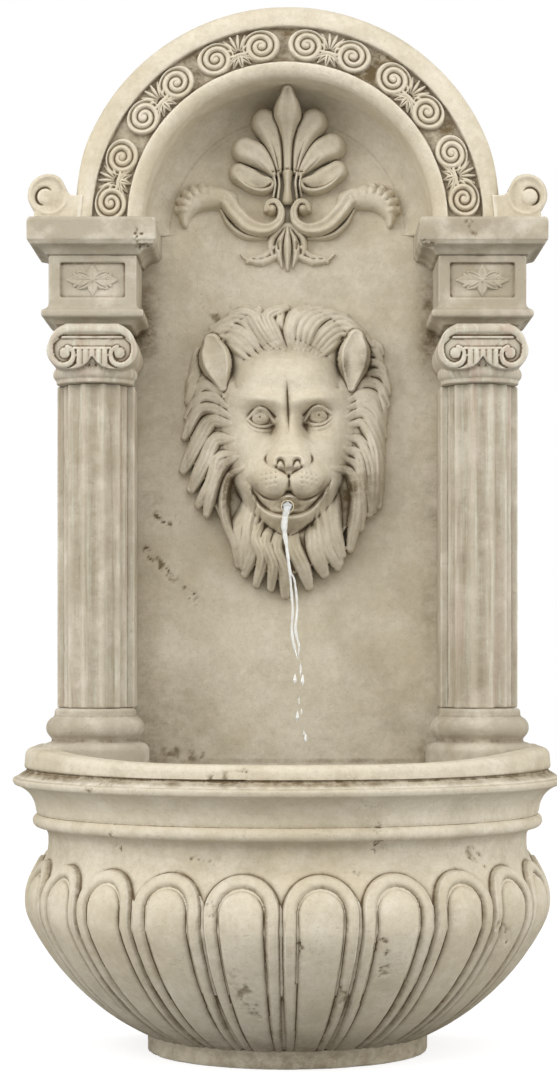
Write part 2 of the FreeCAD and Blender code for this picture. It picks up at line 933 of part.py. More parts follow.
def make_shaft(side, word):
    """A shaft with flutes all round, and the backing strip that ties it to the niche."""
    name = "column_shaft_" + word
    body = new_body(name + "_round")
    bore = s.rod_radius + s.rod_clearance
    rectangle = [
        (bore, BASE_TOP),
        (s.shaft_radius, BASE_TOP),
        (s.shaft_radius, SHAFT_TOP),
        (bore, SHAFT_TOP),
    ]
    outline = body_sketch(body, name + "_outline", "XZ_Plane", rectangle)
    spin = body.newObject("PartDesign::Revolution", name + "_turn")
    spin.Profile = outline
    spin.ReferenceAxis = (outline, ["V_Axis"])
    spin.Angle = 360
    half_angle = 180 / s.flute_count * s.flute_share
    half_chord = s.shaft_radius * sine(half_angle)
    sag = s.flute_depth - (s.shaft_radius - s.shaft_radius * cosine(half_angle))
    radius = (half_chord * half_chord + sag * sag) / (2 * sag)
    centre = s.shaft_radius - s.flute_depth + radius
    ring = body.newObject("Sketcher::SketchObject", name + "_flute")
    floor = [f for f in body.Origin.OriginFeatures if f.Role == "XY_Plane"][0]
    ring.AttachmentSupport = [(floor, "")]
    ring.MapMode = "FlatFace"
    up = Vector(0, 0, 1)
    ring.addGeometry(Part.Circle(Vector(0, -centre.value, 0), up, radius.value), False)
    ring.addConstraint(Sketcher.Constraint("PointOnObject", 0, 3, -2))
    down = Sketcher.Constraint("DistanceY", -1, 1, 0, 3, -centre.value)
    hold(ring, down, "centre", (-centre).formula)
    hold(ring, Sketcher.Constraint("Radius", 0, radius.value), "radius", radius.formula)
    flute = body.newObject("PartDesign::Pocket", name + "_flute_cut")
    flute.Profile = ring
    flute.Type = "ThroughAll"
    flute.Reversed = True
    body.Tip = flute
    doc.recompute()
    pattern = body.newObject("PartDesign::PolarPattern", name + "_flutes")
    pattern.Originals = [flute]
    pattern.Axis = (outline, ["V_Axis"])
    pattern.Angle = 360
    tie(pattern, "Occurrences", s.flute_count)
    body.Tip = pattern
    locate(body, s.column_spread * side, 0, 0)
    strip = box(
        name + "_backing",
        (s.column_spread * side - s.backing_half_width, s.column_spread * side + s.backing_half_width),
        (s.backing_front, PANEL_FRONT),
        (BASE_TOP, SHAFT_TOP),
    )
    node(name, fuse(name, body, strip))


def make_capital(side, word):
    name = "column_capital_" + word
    middle = s.column_spread * side
    front = -s.volute_front
    volute_z = CAPITAL_TOP - s.volute_radius - 6
    pieces = [turned(name + "_neck", capital_neck_outline(), middle)]
    for hand in (-1, 1):
        place = (middle + s.volute_spread * hand, volute_z)
        ear = "%s_volute_%d" % (name, hand + 1)
        pieces.append(cylinder(ear, "y", place, front, PANEL_FRONT, s.volute_radius))
        shoulder = (middle + s.volute_spread * hand * 0.78, volute_z + 3)
        pieces.append(
            cylinder(ear + "_top", "y", shoulder, front, PANEL_FRONT, s.volute_radius + 3)
        )
    pieces.append(
        box(
            name + "_band",
            (middle - s.volute_spread, middle + s.volute_spread),
            (front, PANEL_FRONT),
            (volute_z + 1, CAPITAL_TOP),
        )
    )
    blank = fuse(name + "_blank", *pieces)
    hole = rod_hole(name + "_rod_hole", side, SHAFT_TOP - 1, CAPITAL_TOP + 1)
    node(name, cut(name, blank, hole))


def make_base(side, word):
    name = "column_base_" + word
    ring = turned(name + "_round", base_outline(), s.column_spread * side)
    behind = box(
        name + "_behind",
        (s.column_spread * side - 60, s.column_spread * side + 60),
        (PANEL_FRONT, PANEL_FRONT + 40),
        (DECK - 1, BASE_TOP + 1),
    )
    node(name, cut(name, ring, behind))


# Blocks over the columns

def block_steps():
    """Half width and level of the block's moulded side, from its foot to its top."""
    cove = CAPITAL_TOP + s.architrave_cove_height
    return [
        (s.block_neck_half_width, CAPITAL_TOP),
        (s.architrave_half_width - 2, cove, -SOFT),
        (s.architrave_half_width, cove + 1),
        (s.architrave_half_width, cove + 6, FAINT),
        (s.block_half_width, BLOCK_BOTTOM, -SOFT),
        (s.block_half_width, BLOCK_TOP),
    ]


def cornice_steps():
    cove = BLOCK_TOP + s.cornice_cove_height
    return [
        (s.block_half_width, BLOCK_TOP),
        (s.block_half_width + 2, BLOCK_TOP),
        (s.cornice_half_width - 4, cove - 2, -SOFT),
        (s.cornice_half_width - 2.5, cove - 2),
        (s.cornice_half_width - 1, cove + 1.5, FAINT),
        (s.cornice_half_width, cove + 1.5),
        (s.cornice_half_width, SPRING - 3),
        (s.cornice_half_width - 1.5, SPRING, SOFT),
    ]


def mitred(name, steps, side):
    """A moulding that returns round a square block: a front view and a side view, both cut."""
    middle = s.column_spread * side
    right = [(middle + step[0],) + tuple(step[1:]) for step in steps]
    left = []
    for index in range(len(steps) - 1, -1, -1):
        bulge = steps[index + 1][2:] if index + 1 < len(steps) else ()
        left.append((middle - steps[index][0], steps[index][1]) + tuple(bulge))
    front_view = loose_sketch(name + "_front_view", right + left)
    shift = s.block_half_width - s.block_front
    face = []
    for index in range(len(steps) - 1, -1, -1):
        bulge = steps[index + 1][2:] if index + 1 < len(steps) else ()
        face.append((shift - steps[index][0], steps[index][1]) + tuple(bulge))
    back = [(PANEL_FRONT, steps[0][1]), (PANEL_FRONT, steps[-1][1])]
    side_view = loose_sketch(name + "_side_view", back + face, False)
    reach = s.cornice_half_width + 30
    deep = extruded(name + "_deep", front_view, Vector(0, 1, 0), PANEL_FRONT + 1, reach * 2)
    wide = extruded(
        name + "_wide", side_view, Vector(1, 0, 0), middle + reach * 2, reach * 2 - middle
    )
    return common(name + "_blank", deep, wide)


def leaf_shape(side):
    """A flat lozenge of leaves in the block's inset: four lobes about a boss."""
    x = float(s.column_spread) * side
    low = float(BLOCK_BOTTOM) + float(s.inset_margin)
    high = float(BLOCK_TOP) - float(s.inset_margin)
    z = (low + high) / 2
    face = -float(s.block_front) + float(s.inset_depth)
    thick = float(s.leaf_thickness)
    wide, tall = float(s.leaf_half_width), float(s.leaf_half_height)
    pieces = []
    for reach_x, reach_z in ((wide, 0), (-wide, 0), (0, tall), (0, -tall)):
        tip = Vector(x + reach_x, face, z + reach_z)
        across = Vector(reach_z, 0, reach_x).multiply(0.42 if reach_x else 0.8)
        half_way = Vector(x + reach_x * 0.4, face, z + reach_z * 0.4)
        corners = [Vector(x, face, z), half_way + across, tip, half_way - across]
        wire = Part.makePolygon(corners + [corners[0]])
        pieces.append(Part.Face(wire).extrude(Vector(0, -thick, 0)))
    pieces.append(Part.makeCylinder(tall * 0.3, thick + 1, Vector(x, face, z), Vector(0, -1, 0)))
    return joined(pieces)


def make_block(side, word):
    name = "entablature_" + word
    middle = s.column_spread * side
    inset = box(
        name + "_inset",
        (middle - s.inset_half_width, middle + s.inset_half_width),
        (-s.block_front - 10, -s.block_front + s.inset_depth),
        (BLOCK_BOTTOM + s.inset_margin, BLOCK_TOP - s.inset_margin),
    )
    hole = rod_hole(name + "_rod_hole", side, CAPITAL_TOP - 1, BLOCK_TOP + 1)
    node(name, cut(name, mitred(name, block_steps(), side), inset, hole))
    node("block_leaf_" + word, solid("block_leaf_" + word, leaf_shape(side)))
    name = "cornice_" + word
    hole = rod_hole(name + "_rod_hole", side, BLOCK_TOP - 1, SPRING + 1)
    nut_room = cylinder(
        name + "_nut_room",
        "z",
        (middle, 0),
        SPRING - s.nut_height - s.washer_thickness - 2,
        SPRING + 1,
        s.washer_radius + 0.5,
    )
    node(name, cut(name, mitred(name, cornice_steps(), side), hole, nut_room))


def make_columns():
    for side, word in ((-1, "left"), (1, "right")):
        make_base(side, word)
        make_shaft(side, word)
        make_capital(side, word)
        make_block(side, word)


# Niche panel and arch

def make_panel():
    half, arch = s.panel_half_width, s.arch_radius
    outline = [
        (-half, SEAM),
        (half, SEAM),
        (half, SPRING),
        (arch, SPRING),
        (0, SPRING + arch, QUARTER),
        (-arch, SPRING, QUARTER),
        (-half, SPRING),
    ]
    plate = upright_plate("panel_plate", outline, PANEL_FRONT, s.panel_thickness)
    cuts = [
        box(
            "hose_channel",
            (-s.channel_half_width, s.channel_half_width),
            (CHANNEL_FLOOR, WALL + 1),
            (SEAM - 1, SPOUT_Z + s.channel_top),
        ),
        cylinder(
            "panel_spout_hole",
            "y",
            (0, SPOUT_Z),
            PANEL_FRONT - 1,
            CHANNEL_FLOOR + 1,
            s.spout_radius + s.spout_clearance,
        ),
    ]
    for side, word in ((-1, "left"), (1, "right")):
        cuts.append(strap_recess("panel_strap_recess_" + word, side))
        cuts.append(strap_screw_hole("panel_strap_hole_" + word, side, 1))
        cuts.append(hanger_recess("hanger_recess_" + word, side))
        cuts.append(hanger_pocket("hanger_pocket_" + word, side))
        for lift in (-1, 1):
            word_lift = "low" if lift < 0 else "high"
            cuts.append(hanger_screw_hole("hanger_hole_%s_%s" % (word, word_lift), side, lift))
    for index in range(2):
        for hand in (-1, 1):
            cuts.append(clip_screw_hole("clip_hole_%d_%d" % (index, hand + 1), index, hand))
    node("back_panel", cut("back_panel", plate, *cuts))


def make_arch():
    """The moulded arch: a bead outside, a sunk frieze and a bead inside."""
    body = new_body("arch_ring")
    corners = [
        (ARCH_INNER - s.niche_cove, PANEL_FRONT),
        (ARCH_INNER, PANEL_FRONT - s.niche_cove, -QUARTER),
        (ARCH_INNER, ARCH_FRONT + 9),
        (FRIEZE_INNER - 1, ARCH_FRONT + 0.8, 0.35),
        (FRIEZE_INNER, ARCH_FRONT + 1),
        (FRIEZE_INNER, FRIEZE_FACE),
        (FRIEZE_OUTER, FRIEZE_FACE),
        (FRIEZE_OUTER, ARCH_FRONT + 1),
        (FRIEZE_OUTER + 1, ARCH_FRONT + 0.8),
        (s.arch_radius, ARCH_FRONT + 8, 0.35),
        (s.arch_radius, PANEL_FRONT),
    ]
    outline = body_sketch(body, "arch_outline", "XY_Plane", corners)
    spin = body.newObject("PartDesign::Revolution", "arch_turn")
    spin.Profile = outline
    spin.ReferenceAxis = (outline, ["V_Axis"])
    spin.Angle = 180
    spin.Reversed = True
    body.Tip = spin
    node("arch", locate(body, 0, 0, SPRING))


def make_arch_scrolls():
    centre_z = SPRING + s.arch_scroll_lift + s.arch_scroll_radius
    front, back = -s.arch_scroll_front, -s.arch_scroll_front + s.arch_scroll_depth
    roll = cylinder(
        "scroll_roll", "y", (s.arch_scroll_spread, centre_z), front, back, s.arch_scroll_radius
    )
    sill = box(
        "scroll_sill",
        (s.arch_radius - 20, s.arch_scroll_spread + s.arch_scroll_radius * 0.7),
        (front, back),
        (SPRING, SPRING + s.arch_scroll_lift + 3),
    )
    heel = box(
        "scroll_heel",
        (s.arch_radius - 20, s.arch_scroll_spread - 4),
        (front, back),
        (SPRING, centre_z),
    )
    keep_off = cylinder("scroll_keep_off", "y", (0, SPRING), front - 1, back + 1, s.arch_radius)
    right = cut("arch_scroll_right", fuse("scroll_blank", roll, sill, heel), keep_off)
    node("arch_scroll_right", right)
    node("arch_scroll_left", mirrored("arch_scroll_left", right))


def frieze_unit():
    """Two rolled scrolls with a fan between them, at the top of the arch."""
    middle = (float(FRIEZE_INNER) + float(FRIEZE_OUTER)) / 2
    face = float(FRIEZE_FACE)
    radius = float(s.frieze_scroll_radius)
    rise = float(s.frieze_scroll_raise)
    spread = middle * math.tan(math.radians(float(s.frieze_scroll_angle)))
    ahead = Vector(0, -1, 0)
    pieces = []
    for hand in (-1, 1):
        centre = Vector(spread * hand, face, middle - 1)
        pieces.append(Part.makeCone(radius, radius - 1.6, rise, centre, ahead))
        pieces.append(Part.makeCone(3.6, 2.4, rise + 1.2, centre, ahead))
    tall = radius - 2.5
    hub = Vector(0, face, middle - 5)
    pieces.append(Part.makeCone(6.0, 4.2, rise - 0.6, hub, ahead))
    for lean in (-40, -20, 0, 20, 40):
        turn = math.radians(lean)
        tip = hub + Vector(math.sin(turn) * tall, 0, math.cos(turn) * tall)
        start, end = hub + Vector(0, -0.4, 0), tip + Vector(0, -0.2, 0)
        pieces.append(capsule(start, 0.8, end, 1.6))
    for hand in (-1, 1):
        start = hub + Vector(2.0 * hand, 0, -1)
        end = hub + Vector(8.5 * hand, 0, -5.5)
        pieces.append(capsule(start, 1.6, end, 2.4))
    keep = Part.makeBox(200, 60, 400, Vector(-100, face - 60, 0))
    return joined(pieces).common(keep)


def make_frieze():
    count = int(round(float(s.frieze_unit_count)))
    step = 180.0 / count
    first = frieze_unit()
    units = []
    for index in range(count):
        unit = first.copy()
        unit.rotate(Vector(), Vector(0, 1, 0), -90.0 + step * (index + 0.5))
        unit.translate(Vector(0, 0, float(SPRING)))
        units.append(unit)
    node("frieze_ornaments", solid("frieze_ornaments", Part.makeCompound(units)))


# Carving in the niche

def make_palmette():
    """Seven leaves over a bound stem, the middle leaf curling forward under the arch."""
    top = float(SPRING) + float(ARCH_INNER)
    tall = float(s.palmette_height)
    half = float(s.palmette_half_width)
    rise = float(s.palmette_raise)
    back = float(PANEL_FRONT)
    foot_z = top - tall * 0.79
    waist_z = top - tall * 0.58
    pieces = []
    bulb = half * 0.25
    for forward in (rise * 0.3, rise * 0.95, rise * 1.6):
        tip = (0, back - forward, top - bulb * 0.95)
        pieces.append(capsule(tip, bulb, (0, back - 4, waist_z), 4.2))
    leaves = (
        (0.40, 0.78, 0.215, 0.17),
        (0.74, 0.57, 0.21, 0.26),
        (0.80, 0.385, 0.18, 0.33),
    )
    for out, up, bulge, start in leaves:
        radius = half * bulge
        for hand in (-1, 1):
            tip = (hand * (half * out), back + radius - rise * 0.85, top - tall * (1 - up))
            root = (hand * half * start, back - 3, waist_z - 4)
            pieces.append(capsule(tip, radius, root, 3.4))
    pieces.append(capsule((0, back - 3, waist_z), 5.0, (0, back - 3, foot_z), 6.5))
    for hand in (-1, 1):
        pieces.append(
            capsule((hand * 7, back - 2, waist_z - 3), 3.5, (hand * 9.5, back - 2, foot_z), 3.5)
        )
    arch = [made for made in nodes if made.Label == "arch"][0]
    doc.recompute()
    carved = before_panel(joined(pieces)).cut(arch.Shape)
    node("palmette", solid("palmette", carved))
    return foot_z


# The right scroll by shares of its span: across, up from the stem's foot, thickness
SCROLL_RUN = (
    (0.185, -0.085, 0.030),
    (0.150, -0.040, 0.032),
    (0.100, -0.075, 0.038),
    (0.095, -0.165, 0.048),
    (0.165, -0.245, 0.055),
    (0.330, -0.215, 0.064),
    (0.485, -0.100, 0.080),
    (0.605, -0.010, 0.098),
    (0.740, 0.035, 0.105),
    (0.870, -0.020, 0.095),
    (0.925, -0.150, 0.055),
)
SCROLL_LOBES = (
    (0.60, 0.065),
    (0.70, 0.115),
    (0.80, 0.105),
    (0.89, 0.055),
    (0.95, -0.030),
)


def make_scrolls(foot_z):
    span = float(s.scroll_half_span)
    back = float(PANEL_FRONT)
    lobe = span * 0.05
    points = []
    for across, up, thick in SCROLL_RUN:
        radius = span * thick
        points.append((span * across, back - radius * 0.8, foot_z + span * up, radius))
    pieces = chain(points)
    for across, up in SCROLL_LOBES:
        centre = Vector(span * across, back - lobe * 1.6, foot_z + span * up)
        pieces.append(Part.makeSphere(lobe, centre))
    palmette = [made for made in nodes if made.Label == "palmette"][0]
    right = before_panel(joined(pieces)).cut(palmette.Shape)
    node("acanthus_scroll_right", solid("acanthus_scroll_right", right))
    node("acanthus_scroll_left", solid("acanthus_scroll_left", reflected(right)))
    return right


def make_drop(foot_z, scroll):
    """The hanging bud under the scrolls, with a tendril each side."""
    tall = float(s.drop_height)
    back = float(PANEL_FRONT)
    top = foot_z - float(s.scroll_half_span) * 0.22
    pieces = [capsule((0, back, top - 9), 9.0, (0, back, top - tall + 4), 4.0)]
    for hand in (-1, 1):
        pieces += chain(
            [
                (hand * 9.0, back, top - 16, 5.0),
                (hand * 20.0, back, top - 24, 3.6),
                (hand * 30.0, back, top - 25, 2.6),
                (hand * 37.0, back, top - 20, 1.6),
            ]
        )
        pieces.append(
            capsule((hand * 8, back, top - 14), 5.5, (hand * 6, back, top - tall + 6), 3.0)
        )
    bud = before_panel(joined(pieces)).cut(scroll).cut(reflected(scroll))
    node("hanging_bud", solid("hanging_bud", bud))


# Lion mask

def lobed_wire(half_width, half_height, centre_z, y, turn):
    """An upright oval whose edge is a ring of round lobes."""
    lobes = int(round(float(s.mane_lobes)))
    bulge = float(s.mane_lobe_depth)
    corners = []
    for index in range(lobes):
        angle = 2 * math.pi * (index + turn) / lobes
        across, up = math.sin(angle), math.cos(angle)
        corners.append(Vector(half_width * across, y, centre_z + half_height * up))
    edges = []
    for first, second in zip(corners, corners[1:] + corners[:1]):
        middle = (first + second) * 0.5
        chord = second - first
        outward = Vector(-chord.z, 0, chord.x)
        if outward.dot(middle - Vector(0, y, centre_z)) < 0:
            outward = outward * -1
        edges.append(Part.Arc(first, middle + outward * (bulge / 2), second).toShape())
    return Part.Wire(edges)


def mane_tier(back_y, front_y, back_size, front_size, turn):
    """One layer of the mane, from (half width, half height, centre) at the back to the front."""
    wires = [
        lobed_wire(back_size[0], back_size[1], back_size[2], back_y, turn),
        lobed_wire(front_size[0], front_size[1], front_size[2], front_y, turn),
    ]
    return Part.makeLoft(wires, True, True)


def make_lion():
    wide, tall = float(s.mask_half_width), float(s.mask_half_height)
    rise = float(s.mask_raise)
    back = float(PANEL_FRONT)
    z = float(MASK_Z)
    spout_z = float(SPOUT_Z)

    def at(across, up, out):
        """A point by shares of the mask's half width and height, and of its rise."""
        return (wide * across, back - rise * out, z + tall * up)

    pieces = [
        mane_tier(
            back,
            back - rise * 0.30,
            (wide * 0.97, tall * 0.97, z),
            (wide * 0.90, tall * 0.92, z),
            0.0,
        ),
        mane_tier(
            back - rise * 0.25,
            back - rise * 0.56,
            (wide * 0.80, tall * 0.82, z + tall * 0.02),
            (wide * 0.62, tall * 0.70, z + tall * 0.05),
            0.5,
        ),
    ]
    face_points = (
        (at(0, 0.34, 0.42), wide * 0.50, at(0, -0.12, 0.42), wide * 0.40),
        (at(0.20, 0.24, 0.62), wide * 0.19, at(0.36, -0.02, 0.58), wide * 0.17),
        (at(-0.20, 0.24, 0.62), wide * 0.19, at(-0.36, -0.02, 0.58), wide * 0.17),
        (at(0, 0.26, 0.66), wide * 0.17, at(0, -0.16, 0.80), wide * 0.155),
        (at(0.14, -0.24, 0.72), wide * 0.20, at(0.26, -0.30, 0.58), wide * 0.17),
        (at(-0.14, -0.24, 0.72), wide * 0.20, at(-0.26, -0.30, 0.58), wide * 0.17),
        (at(0, -0.52, 0.52), wide * 0.20, at(0, -0.72, 0.34), wide * 0.22),
        (at(0.66, 0.44, 0.34), wide * 0.10, at(0.62, 0.66, 0.42), wide * 0.16),
        (at(-0.66, 0.44, 0.34), wide * 0.10, at(-0.62, 0.66, 0.42), wide * 0.16),
    )
    for start, start_radius, end, end_radius in face_points:
        pieces.append(capsule(start, start_radius, end, end_radius))
    mask = before_panel(joined(pieces))
    mouth = Part.makeCylinder(
        float(s.spout_radius) + float(s.spout_clearance),
        rise * 2,
        Vector(0, back - rise * 1.5, spout_z),
        Vector(0, 1, 0),
    )
    lips = Part.makeBox(
        wide * 0.44,
        rise,
        tall * 0.11,
        Vector(-wide * 0.22, back - rise * 0.62 - rise, spout_z - tall * 0.06),
    )
    node("lion_mask", solid("lion_mask", mask.cut(mouth).cut(lips).removeSplitter()))


# Water path

def make_spout():
    back = HOSE_Y - 1
    spout = tube(
        "spout_tube", "y", (0, SPOUT_Z), -s.spout_reach, back, s.spout_radius, s.spout_bore_radius
    )
    node("spout_tube", spout)
    leg_bottom = SPOUT_Z - s.elbow_leg
    collar = SPOUT_Z - s.elbow_leg + s.hose_grip
    body = fuse(
        "elbow_body",
        cylinder("elbow_barb", "z", (0, HOSE_Y), leg_bottom, SPOUT_Z, s.barb_radius),
        cylinder("elbow_leg", "z", (0, HOSE_Y), collar, SPOUT_Z, s.elbow_radius),
        ball("elbow_corner", HOSE_Y, SPOUT_Z, s.elbow_radius),
        cylinder("elbow_cup", "y", (0, SPOUT_Z), CHANNEL_FLOOR, HOSE_Y, s.elbow_radius),
    )
    bores = [
        cylinder("elbow_seat", "y", (0, SPOUT_Z), CHANNEL_FLOOR - 1, HOSE_Y - 1, s.spout_radius),
        cylinder("elbow_way", "y", (0, SPOUT_Z), HOSE_Y - 2, HOSE_Y, s.barb_bore_radius),
        cylinder("elbow_bore", "z", (0, HOSE_Y), leg_bottom - 1, SPOUT_Z, s.barb_bore_radius),
        ball("elbow_turn", HOSE_Y, SPOUT_Z, s.barb_bore_radius),
    ]
    node("hose_elbow", cut("hose_elbow", body, *bores))


def ball(name, y, z, radius):
    made = doc.addObject("Part::Sphere", name)
    tie(made, "Radius", radius)
    return locate(made, 0, y, z)


def rounded_path(points, bend):
    """Straight runs joined by tangent arcs of one radius."""
    points = [Vector(*p) for p in points]
    edges = []
    start = points[0]
    for before, corner, after in zip(points, points[1:], points[2:]):
        into = (corner - before).normalize()
        out = (after - corner).normalize()
        turn = into.getAngle(out)
        set_back = bend * math.tan(turn / 2)
        first, last = corner - into * set_back, corner + out * set_back
        inward = (out - into).normalize()
        centre = corner + inward * (bend / math.cos(turn / 2))
        middle = centre - inward * bend
        edges.append(Part.LineSegment(start, first).toShape())
        edges.append(Part.Arc(first, middle, last).toShape())
        start = last
    edges.append(Part.LineSegment(start, points[-1]).toShape())
    return Part.Wire(edges)


def hose_route():
    """From the pump's nozzle up, back through the basin's wall and up the channel."""
    y_pump, y_wall = float(NOZZLE_Y), float(HOSE_Y)
    bottom = float(PUMP_TOP) + float(s.nozzle_height) - float(s.hose_grip)
    top = float(SPOUT_Z) - float(s.elbow_leg) + float(s.hose_grip)
    lean = float(SEAM) - float(s.hose_bend) * 0.4
    return [
        (0, y_pump, bottom),
        (0, y_pump, bottom + float(s.hose_rise)),
        (0, y_wall, lean),
        (0, y_wall, top),
    ]


def swept(route, radius, bend):
    path = rounded_path(route, bend)
    start = Vector(*route[0])
    ring = Part.Wire(Part.Circle(start, Vector(0, 0, 1), radius).toShape())
    return path.makePipeShell([ring], True, False)


def make_hose():
    route = hose_route()
    bend = float(s.hose_bend)
    outside = swept(route, float(s.hose_radius), bend)
    bore = swept(route, float(s.barb_radius), bend)
    path = rounded_path(route, bend)
    section = math.pi * (float(s.hose_radius) ** 2 - float(s.barb_radius) ** 2)
    hose = outside.cut(bore)
    print("hose volume over section times length: %.5f" % (hose.Volume / section / path.Length))
    node("supply_hose", solid("supply_hose", hose))


def clip_level(index):
    return s.clip_low + s.clip_spacing * index


def clip_screw_hole(name, index, hand):
    across = s.hose_radius + s.clip_thickness + s.screw_head_radius + 0.2
    place = (across * hand, clip_level(index) + s.clip_width / 2)
    return cylinder(
        name, "y", place, CHANNEL_FLOOR - s.clip_screw_grip, CHANNEL_FLOOR + 6, s.screw_radius
    )


def make_clips():
    """Two saddles over the hose, each held to the channel's floor by two screws."""
    saddles, screws = [], []
    outer = s.hose_radius + s.clip_thickness
    for index in range(2):
        low = clip_level(index)
        high = low + s.clip_width
        name = "clip_%d" % index
        sheet_face = (CHANNEL_FLOOR, CHANNEL_FLOOR + s.clip_thickness)
        blank = fuse(
            name + "_blank",
            cylinder(name + "_over", "z", (0, HOSE_Y), low, high, outer),
            box(name + "_legs", (-outer, outer), (CHANNEL_FLOOR, HOSE_Y), (low, high)),
            box(name + "_ears", (-s.clip_half_span, s.clip_half_span), sheet_face, (low, high)),
        )
        holes = [
            cylinder(name + "_bore", "z", (0, HOSE_Y), low - 1, high + 1, s.hose_radius),
            box(
                name + "_room",
                (-s.hose_radius, s.hose_radius),
                (CHANNEL_FLOOR - 1, HOSE_Y),
                (low - 1, high + 1),
            ),
        ]
        for hand in (-1, 1):
            holes.append(clip_screw_hole("%s_hole_%d" % (name, hand + 1), index, hand))
            across = s.hose_radius + s.clip_thickness + s.screw_head_radius + 0.2
            place = (across * hand, low + s.clip_width / 2)
            screw = "clip_screw_%d_%d" % (index, hand + 1)
            head_base = CHANNEL_FLOOR + s.clip_thickness
            screws.append(
                fuse(
                    screw,
                    cylinder(
                        screw + "_shank",
                        "y",
                        place,
                        CHANNEL_FLOOR - s.clip_screw_grip,
                        head_base,
                        s.screw_radius,
                    ),
                    cone(
                        screw + "_head",
                        "y",
                        place,
                        head_base,
                        head_base + s.screw_head_height,
                        s.screw_head_radius - 0.2,
                        s.screw_radius,
                    ),
                )
            )
        saddles.append(cut(name, blank, *holes))
    node("hose_clips", group("hose_clips", *saddles))
    node("clip_screws", group("clip_screws", *screws))


def make_clamps():
    """A spring band round each end of the hose, with its two pinch tabs."""
    bottom = PUMP_TOP + s.nozzle_height - s.hose_grip + 3
    top = SPOUT_Z - s.elbow_leg + 3
    bands = []
    for index, (y, low) in enumerate(((NOZZLE_Y, bottom), (HOSE_Y, top))):
        name = "clamp_%d" % index
        outer = s.hose_radius + s.clamp_thickness
        high = low + s.clamp_width
        ring = cylinder(name + "_ring", "z", (0, y), low, high, outer)
        tabs = []
        for hand in (-1, 1):
            middle = 2.4 * hand
            reach = outer + 3
            direction = -1 if index == 0 else 1
            ends = (y + s.hose_radius * direction, y + reach * direction)
            ends = ends if direction > 0 else ends[::-1]
            if index == 1:
                place_x = (s.hose_radius, reach)
                place_y = (y + middle - 0.6, y + middle + 0.6)
            else:
                place_x = (middle - 0.6, middle + 0.6)
                place_y = ends
            tabs.append(box("%s_tab_%d" % (name, hand + 1), place_x, place_y, (low, high)))
        bore = cylinder(name + "_bore", "z", (0, y), low - 1, high + 1, s.hose_radius)
        bands.append(cut(name, fuse(name + "_blank", ring, *tabs), bore))
    node("hose_clamps", group("hose_clamps", *bands))


# Pump

def pump_block(name, front, back, inset=0.0):
    """A box of the pump's section with its long edges rounded, between two depths."""
    half = s.pump_half_width - inset
    low, high = PUMP_BOTTOM + inset, PUMP_TOP - inset
    r = s.pump_round
    corners = [
        (half - r, low),
        (half, low + r, QUARTER),
        (half, high - r),
        (half - r, high, QUARTER),
        (r - half, high),
        (-half, high - r, QUARTER),
        (-half, low + r),
        (r - half, low, QUARTER),
    ]
    return upright_plate(name, corners, front, length(back) - front)


